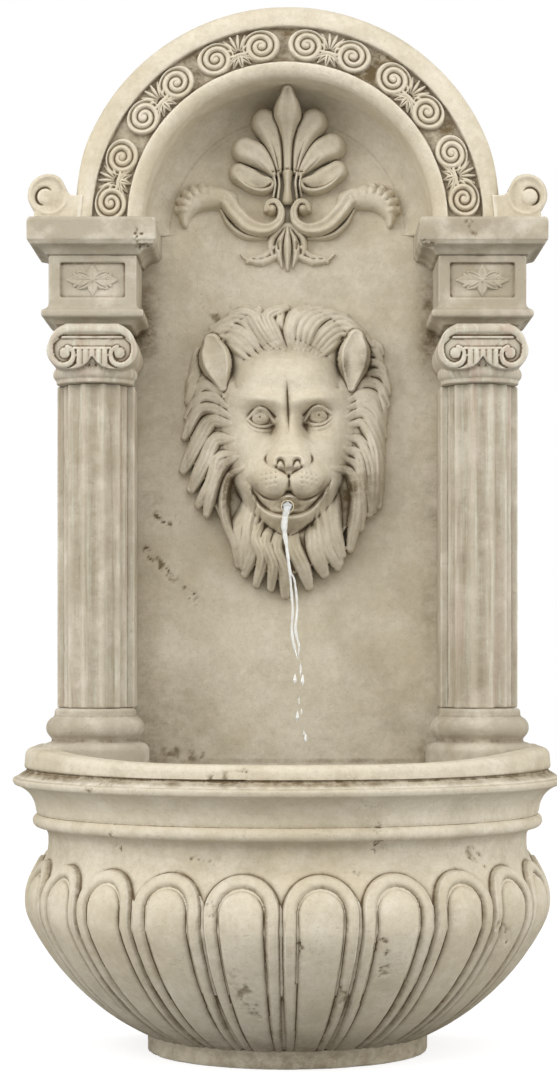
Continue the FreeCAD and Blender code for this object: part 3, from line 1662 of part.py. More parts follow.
def make_pump():
    chamber_back = PUMP_FRONT + s.chamber_depth
    well_back = chamber_back + s.rotor_well_depth
    axis = (0, PUMP_AXIS_Z)
    block = pump_block("pump_block", PUMP_FRONT, s.pump_back)
    nozzle_top = PUMP_TOP + s.nozzle_height
    nozzle = cylinder("nozzle", "z", (0, NOZZLE_Y), PUMP_TOP - 1, nozzle_top, s.barb_radius)
    nozzle_foot = cylinder(
        "nozzle_foot",
        "z",
        (0, NOZZLE_Y),
        PUMP_TOP - 1,
        nozzle_top - s.hose_grip,
        s.hose_radius,
    )
    cuts = [
        cylinder("chamber", "y", axis, PUMP_FRONT - 1, chamber_back, s.chamber_radius),
        cylinder("rotor_well", "y", axis, chamber_back - 1, well_back, s.rotor_well_radius),
        cylinder("shaft_seat", "y", axis, well_back - 1, well_back + 3, s.pump_shaft_radius),
        cylinder(
            "nozzle_way", "z", (0, NOZZLE_Y), PUMP_AXIS_Z, nozzle_top + 1, s.nozzle_bore_radius
        ),
        cylinder(
            "gland_seat",
            "x",
            (s.pump_back - 10, PUMP_BOTTOM + 12),
            s.pump_half_width - 4,
            s.pump_half_width + 1,
            s.gland_radius - 1,
        ),
    ]
    cuts += cup_places("cup_socket", PUMP_BOTTOM - 1, PUMP_BOTTOM + 4, 2.5)
    node(
        "pump_housing",
        cut("pump_housing", fuse("pump_blank", block, nozzle, nozzle_foot), *cuts),
    )
    cover = cylinder(
        "cover_disc",
        "y",
        axis,
        PUMP_FRONT,
        PUMP_FRONT + s.chamber_cover_thickness,
        s.chamber_radius,
    )
    arms = [
        box(
            "cover_arm_flat",
            (-s.chamber_inlet_radius - 1, s.chamber_inlet_radius + 1),
            (PUMP_FRONT + 1, PUMP_FRONT + s.chamber_cover_thickness),
            (PUMP_AXIS_Z - 1.2, PUMP_AXIS_Z + 1.2),
        ),
        cylinder(
            "cover_boss",
            "y",
            axis,
            PUMP_FRONT + 0.5,
            PUMP_FRONT + s.chamber_cover_thickness,
            s.pump_shaft_radius + 1.6,
        ),
    ]
    inlet = cylinder(
        "cover_inlet", "y", axis, PUMP_FRONT - 1, PUMP_FRONT + 9, s.chamber_inlet_radius
    )
    shaft_socket = cylinder(
        "cover_socket", "y", axis, PUMP_FRONT + 1, PUMP_FRONT + 9, s.pump_shaft_radius
    )
    spoked = fuse("cover_spoked", cut("cover_open", cover, inlet), *arms)
    node("impeller_cover", cut("impeller_cover", spoked, shaft_socket))
    shaft = cylinder("impeller_shaft", "y", axis, PUMP_FRONT + 1, well_back + 3, s.pump_shaft_radius)
    node("impeller_shaft", shaft)
    make_impeller(axis, chamber_back, well_back)
    make_cups()
    gland_end = s.pump_half_width + s.gland_length
    gland_place = (s.pump_back - 10, PUMP_BOTTOM + 12)
    gland = fuse(
        "gland_blank",
        cone(
            "gland_taper",
            "x",
            gland_place,
            s.pump_half_width,
            gland_end,
            s.gland_radius + 1,
            s.gland_radius - 0.5,
        ),
        cylinder(
            "gland_root",
            "x",
            gland_place,
            s.pump_half_width - 4,
            s.pump_half_width + 1,
            s.gland_radius - 1,
        ),
    )
    gland_bore = cylinder(
        "gland_bore",
        "x",
        gland_place,
        s.pump_half_width - 3,
        gland_end + 1,
        s.gland_bore_radius,
    )
    node("pump_cord_gland", cut("pump_cord_gland", gland, gland_bore))


def make_impeller(axis, chamber_back, well_back):
    """The magnet rotor with its vaned wheel, loose on the fixed shaft."""
    disc_back = chamber_back - 0.8
    disc_front = disc_back - s.impeller_thickness
    rotor = cylinder("rotor", "y", axis, disc_back - 0.5, well_back - 0.8, s.rotor_radius)
    disc = cylinder("vane_disc", "y", axis, disc_front, disc_back, s.impeller_radius)
    hub_front = disc_front - s.blade_height
    hub = cylinder("vane_hub", "y", axis, hub_front, disc_front + 0.5, s.rotor_bore_radius + 1.6)
    pieces = [rotor, disc, hub]
    count = int(round(float(s.blade_count)))
    for index in range(count):
        blade = doc.addObject("Part::Box", "blade_%d" % index)
        tie(blade, "Length", s.impeller_radius - 1.5)
        blade.Width = 1.2
        tie(blade, "Height", s.blade_height + 0.5)
        turn = Rotation(Vector(0, 1, 0), 360.0 * index / count)
        blade.Placement = Placement(Vector(), turn * Rotation(Vector(1, 0, 0), -90))
        locate(blade, 0, hub_front, PUMP_AXIS_Z)
        pieces.append(blade)
    ring = cylinder(
        "blade_limit", "y", axis, hub_front - 1, well_back, s.impeller_radius
    )
    wheel = common("impeller_solid", fuse("impeller_blank", *pieces), ring)
    bore = cylinder("rotor_bore", "y", axis, hub_front - 2, well_back + 1, s.rotor_bore_radius)
    node("impeller", cut("impeller", wheel, bore))


def cup_places(name, start, end, radius):
    made = []
    for across in (-1, 1):
        for deep, y in enumerate((PUMP_FRONT + 8, s.pump_back - 8)):
            place = ((s.pump_half_width - 8) * across, y)
            made.append(cylinder("%s_%d_%d" % (name, across + 1, deep), "z", place, start, end, radius))
    return made


def make_cups():
    """Four rubber suckers: a stem in the pump's floor and a bell on the basin's floor."""
    stems = cup_places("cup_stem", PUMP_BOTTOM - 2.5, PUMP_BOTTOM + 4, 2.5)
    cups = []
    for index, stem in enumerate(stems):
        across = -1 if index < 2 else 1
        y = (PUMP_FRONT + 8, s.pump_back - 8)[index % 2]
        place = ((s.pump_half_width - 8) * across, y)
        bell = cone(
            "cup_bell_%d" % index, "z", place, BASIN_FLOOR, PUMP_BOTTOM, s.cup_radius, 3.2
        )
        hollow = cone(
            "cup_hollow_%d" % index,
            "z",
            place,
            BASIN_FLOOR - 0.01,
            BASIN_FLOOR + s.cup_height * 0.45,
            s.cup_radius - 1.2,
            1.0,
        )
        cups.append(fuse("cup_%d" % index, cut("cup_shell_%d" % index, bell, hollow), stem))
    node("suction_cups", group("suction_cups", *cups))


def make_intake():
    """The strainer cover that slides off the pump's front, and the flow dial on its face."""
    gap = s.intake_clearance
    back = PUMP_FRONT - gap
    front = back - s.intake_length
    outside = pump_block("intake_outside", front, back)
    inside = pump_block("intake_inside", front + s.intake_wall, back + 1, s.intake_wall)
    axis = (0, PUMP_AXIS_Z)
    slots = []
    count = int(round(float(s.intake_slots)))
    spacing = (2 * s.pump_half_width - 10) / count
    for index in range(count):
        x = spacing * (index + 0.5 - count / 2)
        for word, low, high in (
            ("low", PUMP_BOTTOM + 4, PUMP_AXIS_Z - s.dial_radius - 2),
            ("high", PUMP_AXIS_Z + s.dial_radius + 2, PUMP_TOP - 4),
        ):
            slots.append(
                box(
                    "slot_%s_%d" % (word, index),
                    (x - s.intake_slot_width / 2, x + s.intake_slot_width / 2),
                    (front - 1, front + s.intake_wall + 1),
                    (low, high),
                )
            )
    pin_hole = cylinder(
        "dial_hole",
        "y",
        axis,
        front - 1,
        front + s.intake_wall + 1,
        s.dial_pin_radius + s.dial_clearance,
    )
    node("intake_cover", cut("intake_cover", outside, inside, pin_hole, *slots))
    seat = front - 0.2
    face = seat - s.dial_thickness
    dial = fuse(
        "flow_dial",
        cylinder("dial_disc", "y", axis, face, seat, s.dial_radius),
        cylinder("dial_pin", "y", axis, face + 1, front + s.intake_wall + 0.3, s.dial_pin_radius),
        cylinder(
            "dial_catch",
            "y",
            axis,
            front + s.intake_wall + 0.2,
            front + s.intake_wall + 1.6,
            s.dial_pin_radius + 1.2,
        ),
        box(
            "dial_grip",
            (-1.3, 1.3),
            (face - 3, face + 0.5),
            (PUMP_AXIS_Z - s.dial_radius + 1, PUMP_AXIS_Z + s.dial_radius - 1),
        ),
    )
    node("flow_dial", dial)


# Drain and cord outlet

def make_drain():
    place = (-s.drain_x, -s.drain_y)
    head_top = BASIN_FLOOR + s.drain_head_height
    plug = fuse(
        "plug_round",
        cone(
            "plug_shank",
            "z",
            place,
            FOOT_TOP + 1,
            BASIN_FLOOR,
            s.drain_radius - s.drain_clearance - 0.4,
            s.drain_radius - s.drain_clearance,
        ),
        cylinder("plug_head", "z", place, BASIN_FLOOR, head_top, s.drain_head_radius),
    )
    ring = doc.addObject("Part::Torus", "plug_ring")
    tie(ring, "Radius1", s.drain_ring_radius)
    tie(ring, "Radius2", s.drain_ring_wire)
    ring.Placement = Placement(Vector(), Rotation(Vector(1, 0, 0), 90))
    locate(ring, place[0], place[1], head_top + s.drain_ring_radius - 1)
    node("drain_plug", fuse("drain_plug", plug, ring))


def make_outlet():
    """A rubber block in a notch at the top of the basin's back wall, for the pump's cord."""
    half = s.outlet_half_width - s.outlet_clearance
    low = SEAM - s.outlet_depth + s.outlet_clearance
    high = SEAM - s.outlet_clearance
    lap = s.outlet_flange_lap
    blank = fuse(
        "grommet_blank",
        box("grommet_block", (s.outlet_x - half, s.outlet_x + half), (PANEL_FRONT, WALL), (low, high)),
        box(
            "grommet_flange",
            (s.outlet_x - half - lap, s.outlet_x + half + lap),
            (PANEL_FRONT - s.outlet_flange, PANEL_FRONT),
            (low - lap, high),
        ),
    )
    bore = cylinder(
        "grommet_bore",
        "y",
        (s.outlet_x, SEAM - s.outlet_below_seam),
        PANEL_FRONT - s.outlet_flange - 1,
        WALL + 1,
        s.outlet_bore_radius,
    )
    node("cord_grommet", cut("cord_grommet", blank, bore))


# Fixings

def flat_screw(name, x, z, face):
    """A countersunk screw driven from the wall side, its head flush with face."""
    tip = face - s.screw_length
    return fuse(
        name,
        cylinder(name + "_shank", "y", (x, z), tip, face, s.screw_radius),
        cone(
            name + "_head",
            "y",
            (x, z),
            face - s.screw_head_height,
            face,
            s.screw_radius,
            s.screw_head_radius,
        ),
    )


def countersink(name, x, z, face):
    return cone(
        name,
        "y",
        (x, z),
        face - s.screw_head_height,
        face,
        s.screw_radius,
        s.screw_head_radius,
    )


def strap_span(side):
    middle = s.strap_x * side
    return (middle - s.strap_half_width, middle + s.strap_half_width)


def strap_recess(name, side):
    levels = (SEAM - s.strap_half_height, SEAM + s.strap_half_height)
    return box(name, strap_span(side), (STRAP_FACE, WALL + 1), levels)


def strap_screw_hole(name, side, lift):
    place = (s.strap_x * side, SEAM + s.strap_hole_rise * lift)
    return cylinder(name, "y", place, WALL - s.screw_length, WALL, s.screw_radius)


def make_straps():
    """Steel straps let into the back, across the seam of basin and panel."""
    screws = []
    for side, word in ((-1, "left"), (1, "right")):
        name = "joining_strap_" + word
        levels = (SEAM - s.strap_half_height, SEAM + s.strap_half_height)
        bar = box(name + "_bar", strap_span(side), (STRAP_FACE, WALL), levels)
        tools = []
        for lift in (-1, 1):
            x, z = s.strap_x * side, SEAM + s.strap_hole_rise * lift
            tag = "%s_%d" % (word, lift + 1)
            tools.append(
                cylinder("strap_way_" + tag, "y", (x, z), STRAP_FACE - 1, WALL, s.screw_radius)
            )
            tools.append(countersink("strap_sink_" + tag, x, z, WALL))
            screws.append(flat_screw("strap_screw_" + tag, x, z, WALL))
        node(name, cut(name, bar, *tools))
    node("strap_screws", group("strap_screws", *screws))


def hanger_recess(name, side):
    x = s.hanger_x * side
    return box(
        name,
        (x - s.hanger_half_width, x + s.hanger_half_width),
        (HANGER_FACE, WALL + 1),
        (HANGER_Z - s.hanger_half_height, HANGER_Z + s.hanger_half_height),
    )


def hanger_pocket(name, side):
    """Room behind the keyhole for a wall screw's head."""
    x = s.hanger_x * side
    room = s.hanger_entry_radius + 1
    return box(
        name,
        (x - room, x + room),
        (HANGER_FACE - s.hanger_pocket_depth, HANGER_FACE + 1),
        (HANGER_Z - room, HANGER_Z + s.hanger_slot_length + room),
    )


def hanger_screw_place(side, lift):
    rise = s.hanger_hole_rise if lift < 0 else s.hanger_hole_rise + 2
    return s.hanger_x * side, HANGER_Z + rise * lift


def hanger_screw_hole(name, side, lift):
    place = hanger_screw_place(side, lift)
    return cylinder(name, "y", place, WALL - s.screw_length, WALL, s.screw_radius)


def make_hangers():
    """Keyhole plates let into the back, for two screws in the wall."""
    screws = []
    for side, word in ((-1, "left"), (1, "right")):
        name = "hanger_plate_" + word
        x = s.hanger_x * side
        plate = box(
            name + "_plate",
            (x - s.hanger_half_width, x + s.hanger_half_width),
            (HANGER_FACE, WALL),
            (HANGER_Z - s.hanger_half_height, HANGER_Z + s.hanger_half_height),
        )
        near, far = HANGER_FACE - 1, WALL + 1
        slot_top = HANGER_Z + s.hanger_slot_length
        tools = [
            cylinder(name + "_entry", "y", (x, HANGER_Z), near, far, s.hanger_entry_radius),
            cylinder(name + "_slot_end", "y", (x, slot_top), near, far, s.hanger_slot_radius),
            box(
                name + "_slot",
                (x - s.hanger_slot_radius, x + s.hanger_slot_radius),
                (near, far),
                (HANGER_Z, slot_top),
            ),
        ]
        for lift in (-1, 1):
            screw_x, screw_z = hanger_screw_place(side, lift)
            tag = "%s_%d" % (word, lift + 1)
            tools.append(
                cylinder("hanger_way_" + tag, "y", (screw_x, screw_z), near, WALL, s.screw_radius)
            )
            tools.append(countersink("hanger_sink_" + tag, screw_x, screw_z, WALL))
            screws.append(flat_screw("hanger_screw_" + tag, screw_x, screw_z, WALL))
        node(name, cut(name, plate, *tools))
    node("hanger_screws", group("hanger_screws", *screws))


def make_rods():
    """A threaded rod up each column, from a nut under the deck to one under the arch."""
    rods, nuts, washers = [], [], []
    deck_under = DECK - s.deck_thickness
    for side, word in ((-1, "left"), (1, "right")):
        place = (s.column_spread * side, 0)
        ledge = SPRING - s.nut_height - s.washer_thickness - 2
        low = deck_under - s.washer_thickness - s.nut_height - 2
        rods.append(cylinder("tie_rod_" + word, "z", place, low, SPRING - 1, s.rod_radius))
        ends = (
            ("foot", deck_under - s.washer_thickness, deck_under, -1),
            ("head", ledge, ledge + s.washer_thickness, 1),
        )
        for end, start, finish, way in ends:
            tag = "%s_%s" % (end, word)
            washers.append(
                tube("washer_" + tag, "z", place, start, finish, s.washer_radius, s.rod_radius)
            )
            base = finish if way > 0 else start - s.nut_height
            prism = doc.addObject("Part::Prism", "nut_blank_" + tag)
            prism.Polygon = 6
            tie(prism, "Circumradius", s.nut_radius)
            tie(prism, "Height", s.nut_height)
            locate(prism, place[0], place[1], base)
            hole = cylinder(
                "nut_hole_" + tag, "z", place, base - 1, base + s.nut_height + 1, s.rod_radius
            )
            nuts.append(cut("nut_" + tag, prism, hole))
    node("tie_rods", group("tie_rods", *rods))
    node("tie_rod_nuts", group("tie_rod_nuts", *nuts))
    node("tie_rod_washers", group("tie_rod_washers", *washers))


def check_and_write():
    doc.recompute()
    for made in doc.Objects:
        if any(word in made.State for word in ("Invalid", "Error")):
            raise SystemExit("%s failed: %s" % (made.Name, made.getStatusString()))
    os.makedirs("parts", exist_ok=True)
    for made in nodes:
        shape = made.Shape
        if shape.isNull() or not shape.isValid() or not shape.Solids:
            raise SystemExit("%s has no sound shape" % made.Label)
        shape.exportStep("parts/%s.step" % made.Label)
    print("%d nodes" % len(nodes))


make_foot()
make_columns()
make_panel()
make_arch()
make_arch_scrolls()
make_frieze()
stem_foot = make_palmette()
right_scroll = make_scrolls(stem_foot)
make_drop(stem_foot, right_scroll)
make_lion()
make_spout()
make_hose()
make_clips()
make_clamps()
make_pump()
make_intake()
make_drain()
make_outlet()
make_straps()
make_hangers()
make_rods()
make_basin()
check_and_write()
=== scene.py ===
"""Garden wall fountain: what it looks like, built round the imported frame.

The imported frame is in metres. Shapes are worked out here in millimetres and turned into metres
when their mesh is made. X is to the right, Y towards the wall, Z up.
"""

import json
import math
from functools import reduce

import bpy
import numpy as np
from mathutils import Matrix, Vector


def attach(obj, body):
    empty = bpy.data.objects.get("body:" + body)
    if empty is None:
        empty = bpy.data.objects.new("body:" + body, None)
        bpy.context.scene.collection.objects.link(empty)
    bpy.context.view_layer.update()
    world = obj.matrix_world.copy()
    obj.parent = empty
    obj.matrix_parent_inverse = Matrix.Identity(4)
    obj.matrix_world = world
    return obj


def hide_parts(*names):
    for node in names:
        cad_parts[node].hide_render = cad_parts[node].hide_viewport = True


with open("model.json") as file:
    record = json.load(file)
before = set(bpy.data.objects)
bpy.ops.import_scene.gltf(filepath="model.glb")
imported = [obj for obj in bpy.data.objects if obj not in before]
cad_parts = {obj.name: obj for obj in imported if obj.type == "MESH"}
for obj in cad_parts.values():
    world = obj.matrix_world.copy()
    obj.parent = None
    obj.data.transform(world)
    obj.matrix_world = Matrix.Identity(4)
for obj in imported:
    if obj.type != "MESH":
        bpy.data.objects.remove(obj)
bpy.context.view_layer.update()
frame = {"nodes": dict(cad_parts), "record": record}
scene = bpy.context.scene
scene.view_settings.view_transform = "Standard"

MM = 0.001
PANEL_FRONT = 54.0
WALL = 74.0
SPRING = 625.0
COLUMN_X = 146

# Random but repeatable values


def hashed(cell, seed):
    h = cell[:, 0] * 73856093 ^ cell[:, 1] * 19349663 ^ cell[:, 2] * 83492791 ^ seed * 961748927
    h = (h ^ (h >> 13)) * 1274126177 & 0xFFFFFFFF
    h = (h ^ (h >> 15)) * 2246822519 & 0xFFFFFFFF
    return ((h >> 8) & 0xFFFF) / 32767.5 - 1.0


def noise(points, size, seed):
    """A smooth value from -1 to 1 at each point, in blobs of that size."""
    place = points / size + 500.0
    cell = np.floor(place).astype(np.int64)
    share = place - cell
    share = share * share * (3 - 2 * share)
    value = np.zeros(len(points))
    for corner in range(8):
        step = np.array([corner & 1, corner >> 1 & 1, corner >> 2 & 1])
        weight = np.where(step, share, 1 - share).prod(axis=1)
        value += weight * hashed(cell + step, seed)
    return value


def layered(points, size, seed, layers):
    total = sum(noise(points, size / 2**k, seed + k) / 2**k for k in range(layers))
    return total / (2 - 2 ** (1 - layers))


def smooth(value, low, high):
    t = np.clip((value - low) / (high - low), 0, 1)
    return t * t * (3 - 2 * t)


def hill(value, middle, reach):
    """From 0 up to 1 at the middle and down again."""
    return np.exp(-(((value - middle) / reach) ** 2))


def most(*values):
    return reduce(np.maximum, values)


# Meshes


def grid_faces(rows, columns):
    index = np.arange(rows * columns).reshape(rows, columns)
    a, b = index[:-1, :-1].ravel(), index[:-1, 1:].ravel()
    c, d = index[1:, 1:].ravel(), index[1:, :-1].ravel()
    return np.stack([a, b, c, d], axis=1)


def normals_of(points, quads):
    first = points[quads[:, 2]] - points[quads[:, 0]]
    second = points[quads[:, 3]] - points[quads[:, 1]]
    face = np.cross(first, second)
    out = np.zeros_like(points)
    for axis in range(3):
        for corner in range(4):
            out[:, axis] += np.bincount(quads[:, corner], face[:, axis], len(points))
    return out / np.maximum(np.linalg.norm(out, axis=1), 1e-12)[:, None]


def relaxed(points, quads, steps, amount=0.5):
    """The points drawn towards their neighbours, so many times."""
    start = quads.ravel()
    end = np.roll(quads, -1, axis=1).ravel()
    count = np.bincount(start, minlength=len(points)) + np.bincount(end, minlength=len(points))
    count = np.maximum(count, 1)
    for _ in range(steps):
        mean = np.empty_like(points)
        for axis in range(3):
            mean[:, axis] = np.bincount(start, points[end, axis], len(points))
            mean[:, axis] += np.bincount(end, points[start, axis], len(points))
        points = points + amount * (mean / count[:, None] - points)
    return points


def hollows(points, quads, normals, reach=22):
    """How far each point lies below its surroundings, in millimetres, near by and further off."""
    near = relaxed(points, quads, 3)
    far = relaxed(near, quads, reach)
    close = ((near - points) * normals).sum(axis=1)
    wide = ((far - points) * normals).sum(axis=1)
    return close, wide


def mesh_of(name, points, quads):
    mesh = bpy.data.meshes.new(name)
    mesh.vertices.add(len(points))
    mesh.vertices.foreach_set("co", (points * MM).astype(np.float32).ravel())
    mesh.loops.add(quads.size)
    mesh.loops.foreach_set("vertex_index", quads.astype(np.int32).ravel())
    mesh.polygons.add(len(quads))
    mesh.polygons.foreach_set("loop_start", np.arange(0, quads.size, quads.shape[1], dtype=np.int32))
    mesh.update(calc_edges=True)
    mesh.polygons.foreach_set("use_smooth", np.ones(len(quads), dtype=bool))
    return mesh


def piece(name, mesh, material, slot, *nodes):
    """A finished piece: its object, what it replaces, and what it rides on."""
    made = bpy.data.objects.new(name, mesh)
    scene.collection.objects.link(made)
    mesh.materials.clear()
    mesh.materials.append(material)
    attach(made, "fountain")
    if nodes:
        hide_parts(*nodes)
    return made


# Stone


def linear(*levels):
    """A colour written in the usual 0 to 255 levels, as linear light."""
    return tuple(((v / 255 + 0.055) / 1.055) ** 2.4 for v in levels) + (1.0,)


class Nodes:
    """Short calls for building one node tree. An input takes a value or another node's output."""

    def __init__(self, holder):
        holder.use_nodes = True
        self.holder = holder
        self.tree = holder.node_tree
        self.shader = self.tree.nodes.get("Principled BSDF")

    def fill(self, node, inputs):
        for key, value in inputs.items():
            if isinstance(value, bpy.types.NodeSocket):
                self.tree.links.new(value, node.inputs[key])
            else:
                node.inputs[key].default_value = value

    def new(self, kind, inputs=None, **settings):
        made = self.tree.nodes.new("ShaderNode" + kind)
        for key, value in settings.items():
            setattr(made, key, value)
        self.fill(made, inputs or {})
        return made

    def place(self):
        return self.new("TexCoord").outputs["Object"]

    def noise(self, place, scale, detail=4.0, rough=0.55):
        inputs = {"Scale": scale, "Detail": detail, "Roughness": rough, "Vector": place}
        return self.new("TexNoise", inputs).outputs["Fac"]

    def ramp(self, value, low, high, start=0.0, end=1.0):
        inputs = {"Value": value, "From Min": low, "From Max": high, "To Min": start, "To Max": end}
        return self.new("MapRange", inputs, clamp=True, interpolation_type="SMOOTHSTEP").outputs["Result"]

    def math(self, operation, first, second):
        return self.new("Math", {0: first, 1: second}, operation=operation).outputs["Value"]

    def mix(self, share, first, second):
        return self.new("Mix", {0: share, 6: first, 7: second}, data_type="RGBA").outputs[2]

    def tint(self, colour, where, share, tone):
        """The colour, turned towards a tone where something lies."""
        return self.mix(self.math("MULTIPLY", where, share), colour, linear(*tone))

    def stretched(self, place, scale):
        return self.new("Mapping", {"Scale": scale, "Vector": place}).outputs["Vector"]

    def attribute(self, name):
        return self.new("Attribute", attribute_name=name).outputs["Fac"]

    def bump(self, height, strength, distance):
        made = self.new("Bump", {"Strength": strength, "Distance": distance, "Height": height})
        self.fill(self.shader, {"Normal": made.outputs["Normal"]})

    def seen_straight(self):
        """Whether a ray comes from the camera, straight or through the water."""
        rays = self.new("LightPath").outputs
        return self.math("MAXIMUM", rays["Is Camera Ray"], rays["Is Transmission Ray"])


# Upright streaks: seed, where they begin and are full, and tone
STREAKS = [
    (0, 0.48, 0.72, (176, 154, 138)),
    (7, 0.5, 0.7, (206, 207, 190)),
    (3, 0.55, 0.75, (138, 126, 102)),
]
# Wash, mottle and speckle: scale, detail, roughness, where they begin and are full, share and tone
FILMS = [
    (24.0, 6.0, 0.72, 0.46, 0.66, 0.3, (158, 147, 122)),
    (210.0, 4.0, 0.7, 0.36, 0.66, 0.22, (168, 155, 128)),
    (620.0, 3.0, 0.7, 0.58, 0.72, 0.34, (140, 124, 98)),
]


def stone(name, streaks=0.0, light=(209, 200, 180), dark=(195, 184, 160)):
    n = Nodes(bpy.data.materials.new(name))
    place = n.place()

    def cloud(scale, detail, rough, *ends):
        return n.ramp(n.noise(place, scale, detail, rough), *ends)

    colour = n.mix(cloud(9.0, 3.0, 0.55, 0.35, 0.68), linear(*light), linear(*dark))
    colour = n.tint(colour, cloud(38.0, 4.0, 0.6, 0.42, 0.72), 0.5, (220, 212, 196))
    for seed, low, high, tone in STREAKS if streaks else []:
        runs = n.stretched(place, (85.0 + 30 * seed, 85.0 + 30 * seed, 5.0 + seed))
        colour = n.tint(colour, n.ramp(n.noise(runs, 1.0, 3.0, 0.6), low, high), streaks, tone)
    for *look, share, tone in FILMS:
        colour = n.tint(colour, cloud(*look), share, tone)
    drawn_out = n.stretched(place, (100.0, 100.0, 140.0))
    flecks = n.ramp(n.noise(drawn_out, 1.0, 6.0, 0.78), 0.34, 0.66, 0.5, 1.25)
    # Dirt and painted shade in the niche, on the frieze, under the rim and at the foot, laid on in brown
    # flecks.
    colour = n.tint(colour, n.attribute("stain_and_shade"), flecks, (106, 90, 63))
    # Painted shade with dirt: near and broad hollows darkened towards umber.
    close, wide = n.attribute("close"), n.attribute("wide")
    grime_and_shade = n.math("ADD", n.ramp(close, 0.015, 0.26, 0.0, 0.95), n.ramp(wide, 0.1, 1.4, 0.0, 0.6))
    grime_and_shade = n.math("MULTIPLY", grime_and_shade, cloud(90.0, 4.0, 0.65, 0.3, 0.7, 0.6, 1.25))
    colour = n.mix(n.math("MINIMUM", grime_and_shade, 0.94), colour, linear(92, 76, 53))
    # Painted highlight with wear: raised edges lightened towards a pale tone.
    wear = n.ramp(n.math("MULTIPLY", close, -1.0), 0.03, 0.4, 0.0, 0.7)
    colour = n.mix(wear, colour, linear(230, 224, 210))
    colour = n.tint(colour, n.attribute("scar"), 0.7, (108, 92, 66))
    n.fill(n.shader, {"Base Color": colour, "Roughness": 0.86, "Specular IOR Level": 0.3})
    grain = n.math("MULTIPLY", n.noise(place, 900.0, 5.0, 0.7), 0.35)
    pits = n.math("MULTIPLY", cloud(260.0, 3.0, 0.6, 0.28, 0.42), 0.65)
    n.bump(n.math("ADD", grain, pits), 0.5, 0.0008)
    return n.holder


STONE = stone("cast_stone")
LIMED = stone("limed_spout", 0.0, (202, 190, 158), (176, 160, 120))
# Darker copies of the stone for the columns, their bases and capitals and the entablature: painted shade, as
# these fronts take less light. The streaked one also has upright streaks.
SHADED_PILLAR_STONE = stone("pillar_stone_painted_shade", 0.0, (170, 162, 145), (156, 146, 127))
STREAKED_SHADED_STONE = stone("streaked_stone_painted_shade", 0.6, (190, 182, 165), (172, 162, 143))

# Knocks in the stone: from one place to another, with a radius and depth
SCARS = [
    ((-112, -40, 614), (-103, -38, 600), 8, 4),
    ((103, -38, 612), (104, -38, 604), 7, 4),
    ((135, -46, 620), (142, -46, 612), 5, 0.9),
    ((-110, 54, 422), (-100, 54, 420), 5, 0.7),
    ((-100, 54, 408), (-89, 54, 403), 6, 0.8),
    ((-110, 54, 380), (-92, 54, 361), 5, 0.8),
    ((-92, 54, 361), (-71, 54, 341), 5, 0.7),
    ((-65, 54, 576), (-55, 54, 562), 5, 0.6),
    ((-44, 54, 571), (-38, 54, 567), 4, 0.5),
    ((70, 52, 718), (75, 52, 696), 5, 0.8),
    ((-98, 54, 224), (-69, 54, 219), 6, 0.5),
    ((-36, -179, 76), (-21, -155, 46), 8, 1.2),
    ((63, -179, 177), (64, -170, 163), 6, 1.5),
    ((50, -194, 195), (67, -185, 191), 5, 1.0),
    ((-51, -191, 213), (-31, -196, 216), 6, 1.2),
    ((9, -195, 100), (9, -189, 87), 4, 1.0),
    ((39, -171, 66), (40, -160, 54), 5, 1.0),
    ((65, -183, 99), (67, -171, 78), 6, 1.3),
    ((-66, -169, 157), (-48, -175, 157), 3, 0.5),
    ((42, -179, 151), (49, -179, 149), 4, 0.6),
    ((-54, -189, 127), (-53, -190, 121), 4, 0.8),
    ((-123, -144, 175), (-120, -136, 163), 5, 1.3),
    ((-140, -153, 205), (-130, -158, 207), 5, 0.8),
    ((128, -129, 158), (141, -119, 151), 7, 1.3),
    ((151, -127, 107), (159, -109, 94), 6, 1.2),
]


def stains_and_shade(points):
    """Dirt and painted shade from 0 to 1: in the niche, on the frieze's ground, under the rim, and on foot
    and deck.
    """
    x, y, z = points.T
    off = np.abs(x)
    ring = np.hypot(x, z - SPRING)
    blots = 0.6 + 0.5 * layered(points, 70.0, 71, 3) + 0.25 * layered(points, 11.0, 77, 2)
    niche = smooth(-y, -68, -62) * smooth(y, 28, 50) * smooth(-off, -124, -118)
    # Painted shade with dirt: the panel darker towards the columns, below the arch.
    edge = 0.34 * smooth(off, 84, 116) * smooth(-z, -640, -560)
    low = 0.42 * smooth(-z, -330, -212) * (0.5 + 0.5 * smooth(off, 40, 110))
    # Painted shade with dirt: a little darker round the arch's head inside the niche.
    head = 0.12 * smooth(ring, 84, 108) * smooth(z, 610, 650)
    # Painted shadow: the entablature's shadow on the panel beside the columns.
    beside = smooth(off, 92, 113) * hill(z, 556, 42)
    # Painted shade with dirt: darker in the niche's lower corners by the column bases, and in a band low
    # across the niche.
    corner = np.exp(-(((off - 114) / 18) ** 2) - ((z - 208) / 30) ** 2)
    corner = np.maximum(corner, 0.7 * hill(z, 207, 5))
    niche = niche * (0.06 + most(edge, 1.1 * beside, low, head, 1.2 * corner))
    # Painted shade with dirt: the frieze's sunk ground darkened.
    frieze = smooth(ring, 120, 122) * smooth(-ring, -149, -147) * smooth(y, -15.5, -14.2)
    frieze = frieze * (z > SPRING - 3) * (y < 0)
    reach = np.where(y < 0, np.hypot(x, y), off)
    forward = np.where(y < 0, -y / np.maximum(reach, 1), 0)
    # Painted shade with dirt: a dark band in the groove under the rim's top.
    under_rim = 1.25 * hill(z, 212 - 1.5 * smooth(forward, 0.3, 0.95), 3.6) * smooth(reach, 190, 196)
    # Painted shade with dirt: the foot darker towards the bottom.
    foot = smooth(-z, -44, -8)
    deck = smooth(-np.abs(z - 216), -3, -1) * smooth(-reach, -196, -190)
    return np.clip(most(niche, 1.1 * frieze, under_rim, 0.7 * foot, 0.8 * deck) * blots, 0, 1)


